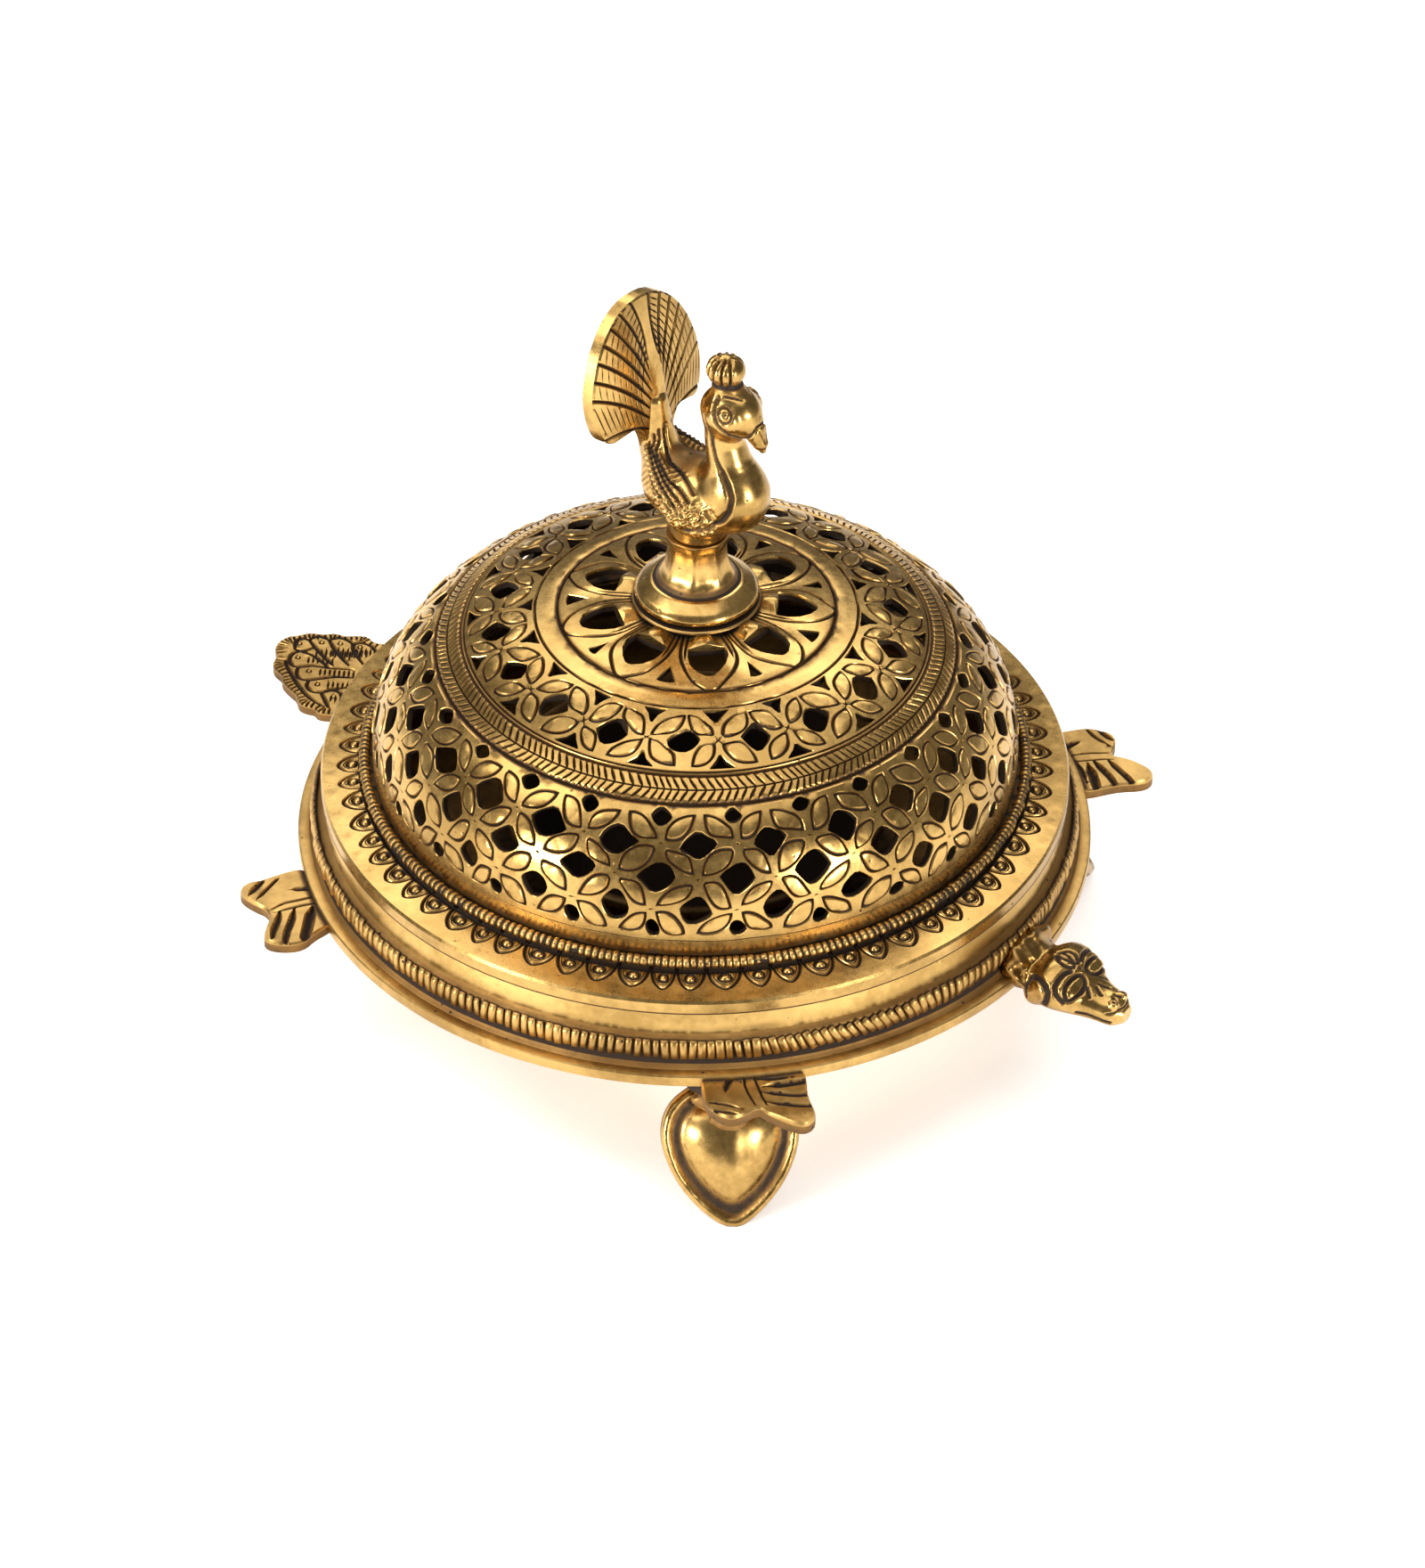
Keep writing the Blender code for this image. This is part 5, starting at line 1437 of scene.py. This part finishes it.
# Peacock: solid cast and brazed on the stem: breast and thick neck, crested head with ringed eyes and
# a hooked beak, wings of hammered feathers that end in a curl, and a broad fan behind.

bird_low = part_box("peacock")[0] / MM


def bird_field(points):
    """The bird without its fan: body, breast, neck, head, beak, crest, wings and tail stalk."""
    body = oval(points, (1.0, 0, 101.6), (11.4, 6.9, 6.6))
    body = melt(body, oval(points, (7.7, 0, 104.0), (5.9, 5.8, 6.5)), 2.0)
    body = melt(body, limb_field(points, [(8.3, 0, 104.5, 5.1), (6.8, 0, 109.5, 4.1),
                                          (5.6, 0, 114, 3.5), (5.3, 0, 118, 3.4)]), 2.2)
    body = melt(body, oval(points, (6.8, 0, 120.9), (5.7, 4.6, 4.9)), 1.2)
    body = melt(body, limb_field(points, [(-5.4, 0, 102.0, 4.6), (-7.8, 0, 107.5, 3.7),
                                          (-8.6, 0, 112, 2.9), (-8.9, 0, 117, 2.2)]), 2.6)
    body = melt(body, limb_field(points, [(0.3, 0, 93.9, 5.0), (0.6, 0, 98, 5.2)]), 1.6)
    beak = limb_field(points, [(9.4, 0, 121.0, 2.9), (11.4, 0, 118.9, 2.2), (12.8, 0, 116.6, 1.4),
                               (13.3, 0, 115.4, 0.7)])
    body = melt(body, beak, 0.5)
    body = melt(body, limb_field(points, [(6.2, 0, 124.2, 3.0), (5.8, 0, 126.9, 2.6)]), 1.0)
    body = melt(body, oval(points, (5.6, 0, 128.9), (3.5, 3.3, 2.9)), 0.5)
    for side in (-1, 1):
        wing = oval(points, (2.4, side * 5.1, 100.6), (5.4, 2.7, 4.5))
        quills = [(1.0, side * 5.6, 101.0, 3.0), (-3.5, side * 5.2, 104.5, 2.4),
                  (-7.6, side * 3.6, 109.0, 1.2)]
        wing = melt(wing, limb_field(points, quills), 1.6)
        body = melt(body, wing, 0.6)
        body = melt(body, oval(points, (7.4, side * 3.7, 121.2), (3.2, 1.7, 2.9)), 0.7)
    return body


BIRD_LINES = [  # on the right side: points, width and depth
    (((7.1, -4.6, 123.7), (7.5, -3.9, 124.3), (8.6, -3.6, 124.2), (9.6, -4.0, 123.4),
      (9.7, -4.8, 122.3), (8.8, -5.3, 121.7), (7.8, -5.3, 122.1), (7.2, -5.0, 123.0),
      (7.1, -4.6, 123.7)), 0.85, 0.38),
    (((8.6, -4.7, 123.3), (8.5, -4.8, 123.1)), 0.9, 0.35),
    (((6.0, -2.9, 125.0), (5.7, -3.9, 123.9), (6.3, -4.8, 122.9), (7.0, -5.4, 121.6),
      (8.1, -5.4, 120.4), (9.2, -4.7, 119.4), (9.9, -3.1, 118.0), (10.7, -1.6, 117.4)), 1.25, 0.60),
    (((7.0, -2.6, 125.3), (8.4, -2.2, 125.3), (9.9, -1.3, 125.0)), 0.7, 0.30),
    (((10.6, -2.2, 117.7), (11.5, -1.9, 118.2), (12.4, -1.8, 119.3), (12.9, -1.1, 120.4),
      (13.2, 0.0, 120.6)), 0.80, 0.42),
    (((12.9, -0.9, 119.5), (13.6, -0.6, 118.3), (14.0, -0.2, 117.0)), 0.45, 0.20),
    (((4.2, 0.0, 126.9), (4.4, -1.8, 126.9), (5.6, -2.3, 126.8), (7.1, -1.8, 126.7),
      (8.0, -0.6, 126.6), (8.1, 0, 126.6)), 1.1, 0.35),
    (((5.3, -1.2, 131.5), (4.8, -3.0, 129.9), (4.8, -3.1, 127.0)), 0.95, 0.75),
    (((6.1, -0.8, 131.6), (6.4, -2.8, 130.3), (6.6, -3.1, 127.0)), 0.90, 0.75),
    (((6.8, -0.5, 131.7), (7.9, -2.0, 130.4), (8.1, -2.3, 127.2)), 0.90, 0.70),
    (((4.6, -0.8, 131.3), (3.4, -2.4, 130.0), (3.3, -2.6, 127.2)), 0.90, 0.70),
    (((4.2, -0.2, 131.0), (2.5, -1.0, 129.8), (2.4, -1.1, 127.6)), 0.80, 0.55),
    (((4.6, -3.4, 121.0), (4.6, -3.8, 118.4), (4.9, -3.9, 116.5), (5.3, -3.9, 114.7),
      (6.1, -4.1, 112.6), (7.5, -4.5, 110.9), (9.0, -4.8, 109.5)), 1.3, 0.45),
    (((7.6, -4.4, 110.8), (9.4, -4.9, 109.0), (10.5, -5.3, 106.8), (10.3, -5.9, 104.2),
      (9.2, -6.1, 102.0), (7.2, -6.5, 100.0), (4.8, -7.3, 98.9), (2.2, -7.4, 98.2)), 1.7, 0.85),
    (((2.9, -8.1, 102.4), (3.8, -7.6, 103.1), (5.0, -7.2, 102.8), (5.4, -7.3, 101.6),
      (4.6, -7.7, 100.6), (3.5, -8.0, 100.6), (3.3, -8.0, 101.4), (4.0, -7.8, 101.9)), 0.55, 0.38)]
WING_RIDGE = path((-8.0, -3.6, 110.6), (-6.8, -4.8, 109.2), (-5.2, -6.1, 107.4), (-3.2, -7.2, 105.8),
                  (-0.9, -7.9, 103.9), (1.0, -8.5, 102.4))
for shift in ((0, 0, 0), (0.9, 0.1, 1.35), (1.7, 1.0, 2.2), (1.9, 2.6, 2.9), (-0.6, 0.2, -1.5)):
    BIRD_LINES.append((WING_RIDGE + shift, 0.95, 0.62))


def within(*shares):
    """1 where every share is 1 or more, fading to 0 where any of them is 0."""
    return np.prod([np.clip(share, 0, 1) for share in shares], axis=0)


def bird_texture(points, normals):
    """Hammered feathers low on the wings, roped ridges above, dark hollows, painted shade underneath.
    """
    x, y, z = points.T
    side = np.abs(y)
    wing = within((side - 4.6) / 1.2, (104.6 - z) / 1.5, (z - 97.2) / 1.5, (8.4 - x) / 1.2,
                  (x + 5.5) / 1.5)
    worm = np.sin(x * 2.7 + 1.5 * np.sin(z * 1.9)) * np.sin(z * 2.9 + 1.3 * np.sin(x * 1.8 + side))
    back = within((side - 3.0) / 0.8, (-0.5 - x + (z - 104) * 0.5) / 2.0, (111.5 - z) / 1.5,
                  (z - 101) / 2, (x + 10.5) / 1.5)
    ropes = np.sin((x * 0.733 + side * 0.31 - z * 0.603) * 6.6)
    # painted shade: faces that look down are painted darker
    shade_under = np.clip((-normals[:, 2] - 0.35) / 0.5, 0, 1) * 0.35
    nape = np.exp(-((z - 126.4) / 0.8) ** 2) * (x < 9) * 0.35
    saddle = np.exp(-((x + 2.2) / 3.4) ** 4 - ((z - 107.8) / 2.6) ** 4 - (y / 4.6) ** 4) * 0.42
    tone = shade_under + nape + saddle + wing * np.clip(-worm * 0.8, 0, 0.55) - wing * 0.15
    tone = tone + back * np.clip(-ropes * 0.3 + 0.10, 0, 0.4)
    return wing * worm * 0.42 + back * ropes * 0.13, tone


bird = sculpted("peacock_cast", bird_field, (-13.2, -10.4, bird_low.z - 1.5), (15.2, 10.4, 133.0),
                0.30, both_sides(BIRD_LINES), bright_brass, bird_texture, tone=0.62)
reshaped(bird, lambda points: np.maximum(points, (-np.inf, -np.inf, bird_low.z)), 80.0)

fan_half = [(0, 136.9), (3.2, 136.5), (6.2, 134.9), (8.7, 132.4), (10.7, 129.3), (12.0, 126.0),
            (12.9, 122.8), (13.1, 119.9), (12.8, 117.0), (12.0, 114.4), (10.4, 113.0), (8.2, 113.7),
            (5.6, 114.2), (3.8, 113.0), (2.8, 110.4), (2.4, 107.8), (0, 107.4)]
fan_outline = fan_half + [(-y, z) for y, z in fan_half[-2:0:-1]]
fan_outline = even(facing(fair(fan_outline, 1)), 0.6)
FEATHERS = 8
fan_feathers = []
for k in range(FEATHERS):
    t = k / (FEATHERS - 1)
    start = np.array((2.3 - 1.0 * t, 112.6 + 13.4 * t))
    turn = math.radians(-4 + 84 * t)
    end = np.array((14.6 * math.cos(turn), 120.5 + 17.6 * math.sin(turn)) if k else (12.6, 114.0))
    bend = (start + end) / 2 + (-0.6 - 0.8 * t, 2.3 - 1.2 * t)
    s = np.linspace(0, 1, 9)[:, None]
    fan_feathers.append((1 - s) ** 2 * start + 2 * s * (1 - s) * bend + s * s * end)
fan_lines = []
for side in (-1, 1):
    for line in fan_feathers:
        fan_lines.append(stroke(line * (side, 1), 0.78, 0.55, (0.4, 1.0), fine=0.8))
    for low_line, high_line in zip(fan_feathers[:-1], fan_feathers[1:]):
        for s in np.linspace(0.16, 0.97, 10):
            a = np.array([np.interp(s, np.linspace(0, 1, 9), low_line[:, k]) for k in (0, 1)])
            b = np.array([np.interp(min(s + 0.05, 1), np.linspace(0, 1, 9), high_line[:, k])
                          for k in (0, 1)])
            barb = np.array((a * 0.80 + b * 0.20, a * 0.18 + b * 0.82)) * (side, 1)
            fan_lines.append(stroke(barb, 0.36, 0.24, (0.5, 0.5), fine=0.9))


def fan_place(y, z, depth):
    """Stands the fan up behind the bird, leaning back and turned a little."""
    back = 7.6 + 0.0055 * np.maximum(z - 108, 0) ** 2 + 0.012 * y * y - 0.15 * y
    return np.stack([-back - depth, y, z], 1) * MM


def fan_shade(y, z):
    """A plain rib up the middle, feathers that swell between their lines, dark near the stalk."""
    rib = np.exp(-(y / 1.6) ** 4) * np.clip((127 - z) / 5, 0, 1)
    root = np.clip((113.0 - z) / 3, 0, 1) * 0.5
    return 0.45 * rib, root + 0.30 * np.exp(-((np.abs(y) - 2.4) / 1.6) ** 2) - 0.12


fan_parts = sheet_mesh(fan_outline, [], fan_lines, fan_place, 2.3, 1.0, relief=fan_shade,
                       edge=(0.25, 0.30), soot=0.12)
fan = metalwork("peacock_fan", *fan_parts, bright_brass, 30.0)
weld(fan, 30.0)
for part in (bird, fan):
    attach(part, "lid")
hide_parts("peacock")

# Studio: a pale sweep under the burner and five soft lights: a small low one on either side, one
# high at the left, a long one behind and a broad one overhead, seen from above with a long lens.

TURN, RISE, DISTANCE = 33.5, 38.13, 1.0091
TARGET = Vector((0, 0, 0.0367))
FOCAL, SENSOR = 128.0, 36.0
YAW, ROLL = math.radians(0.18), math.radians(0.50)


def pale(name, colour, rough):
    """A plain matt paper that glows a little, so that it stays nearly white."""
    finish = bpy.data.materials.new(name)
    finish.use_nodes = True
    shader = finish.node_tree.nodes["Principled BSDF"]
    shader.inputs["Base Color"].default_value = (*colour, 1.0)
    shader.inputs["Roughness"].default_value = rough
    shader.inputs["Emission Color"].default_value = (*colour, 1.0)
    shader.inputs["Emission Strength"].default_value = 0.50
    return finish


floor_mesh = bpy.data.meshes.new("floor")
FLOOR_HALF = 4
corners = [(x * FLOOR_HALF, y * FLOOR_HALF, 0) for x, y in ((-1, -1), (1, -1), (1, 1), (-1, 1))]
floor_mesh.from_pydata(corners, [], [(0, 1, 2, 3)])
floor_mesh.materials.append(pale("pale_sweep", (0.97, 0.965, 0.955), 0.9))
floor = bpy.data.objects.new("floor", floor_mesh)
bpy.context.scene.collection.objects.link(floor)


def softbox(name, azimuth, rise, distance, wide, tall, power):
    """A soft light at an angle from the camera's side, turned to look at the burner."""
    lamp = bpy.data.lights.new(name, "AREA")
    lamp.shape, lamp.size, lamp.size_y, lamp.energy = "RECTANGLE", wide, tall, power
    a, e = math.radians(azimuth - 90 + TURN), math.radians(rise)
    away = Vector((math.cos(e) * math.cos(a), math.cos(e) * math.sin(a), math.sin(e)))
    stand = bpy.data.objects.new(name, lamp)
    stand.location = TARGET + distance * away
    stand.rotation_euler = (TARGET - stand.location).to_track_quat("-Z", "Y").to_euler()
    bpy.context.scene.collection.objects.link(stand)


softbox("low_left", -52, 13, 1.1, 0.26, 0.22, 7.0)
softbox("low_right", 42, 13, 1.1, 0.26, 0.22, 6.0)
softbox("high_left", -80, 50, 1.2, 0.6, 0.5, 4.5)
softbox("back_strip", 180, 50, 1.2, 1.1, 0.35, 4.5)
softbox("overhead", 0, 88, 1.3, 1.2, 1.2, 8.0)

world = bpy.data.worlds.new("studio")
world.use_nodes = True
world.node_tree.nodes["Background"].inputs["Color"].default_value = (1.0, 0.985, 0.96, 1.0)
world.node_tree.nodes["Background"].inputs["Strength"].default_value = 0.20
bpy.context.scene.world = world
bpy.context.scene.view_settings.view_transform = "Standard"

lens = bpy.data.cameras.new("camera")
lens.lens, lens.sensor_fit = FOCAL, "VERTICAL"
lens.sensor_height = lens.sensor_width = SENSOR
lens.clip_start = 0.05
camera = bpy.data.objects.new("camera", lens)
bpy.context.scene.collection.objects.link(camera)
e, t = math.radians(RISE), math.radians(TURN)
sight = np.array((0.0, math.cos(e), -math.sin(e)))
right, up = np.array((1.0, 0.0, 0.0)), np.array((0.0, math.sin(e), math.cos(e)))
right, fwd = (right * math.cos(YAW) - sight * math.sin(YAW),
              sight * math.cos(YAW) + right * math.sin(YAW))
right, up = (right * math.cos(ROLL) + up * math.sin(ROLL),
             up * math.cos(ROLL) - right * math.sin(ROLL))
spin = np.array(((math.cos(t), -math.sin(t), 0), (math.sin(t), math.cos(t), 0), (0, 0, 1)))
place = spin @ (np.array(TARGET) - DISTANCE * sight)
axes = spin @ np.stack([right, up, -fwd], 1)
camera.matrix_world = Matrix.Translation(Vector(place)) @ Matrix(axes.tolist()).to_4x4()
bpy.context.scene.camera = camera
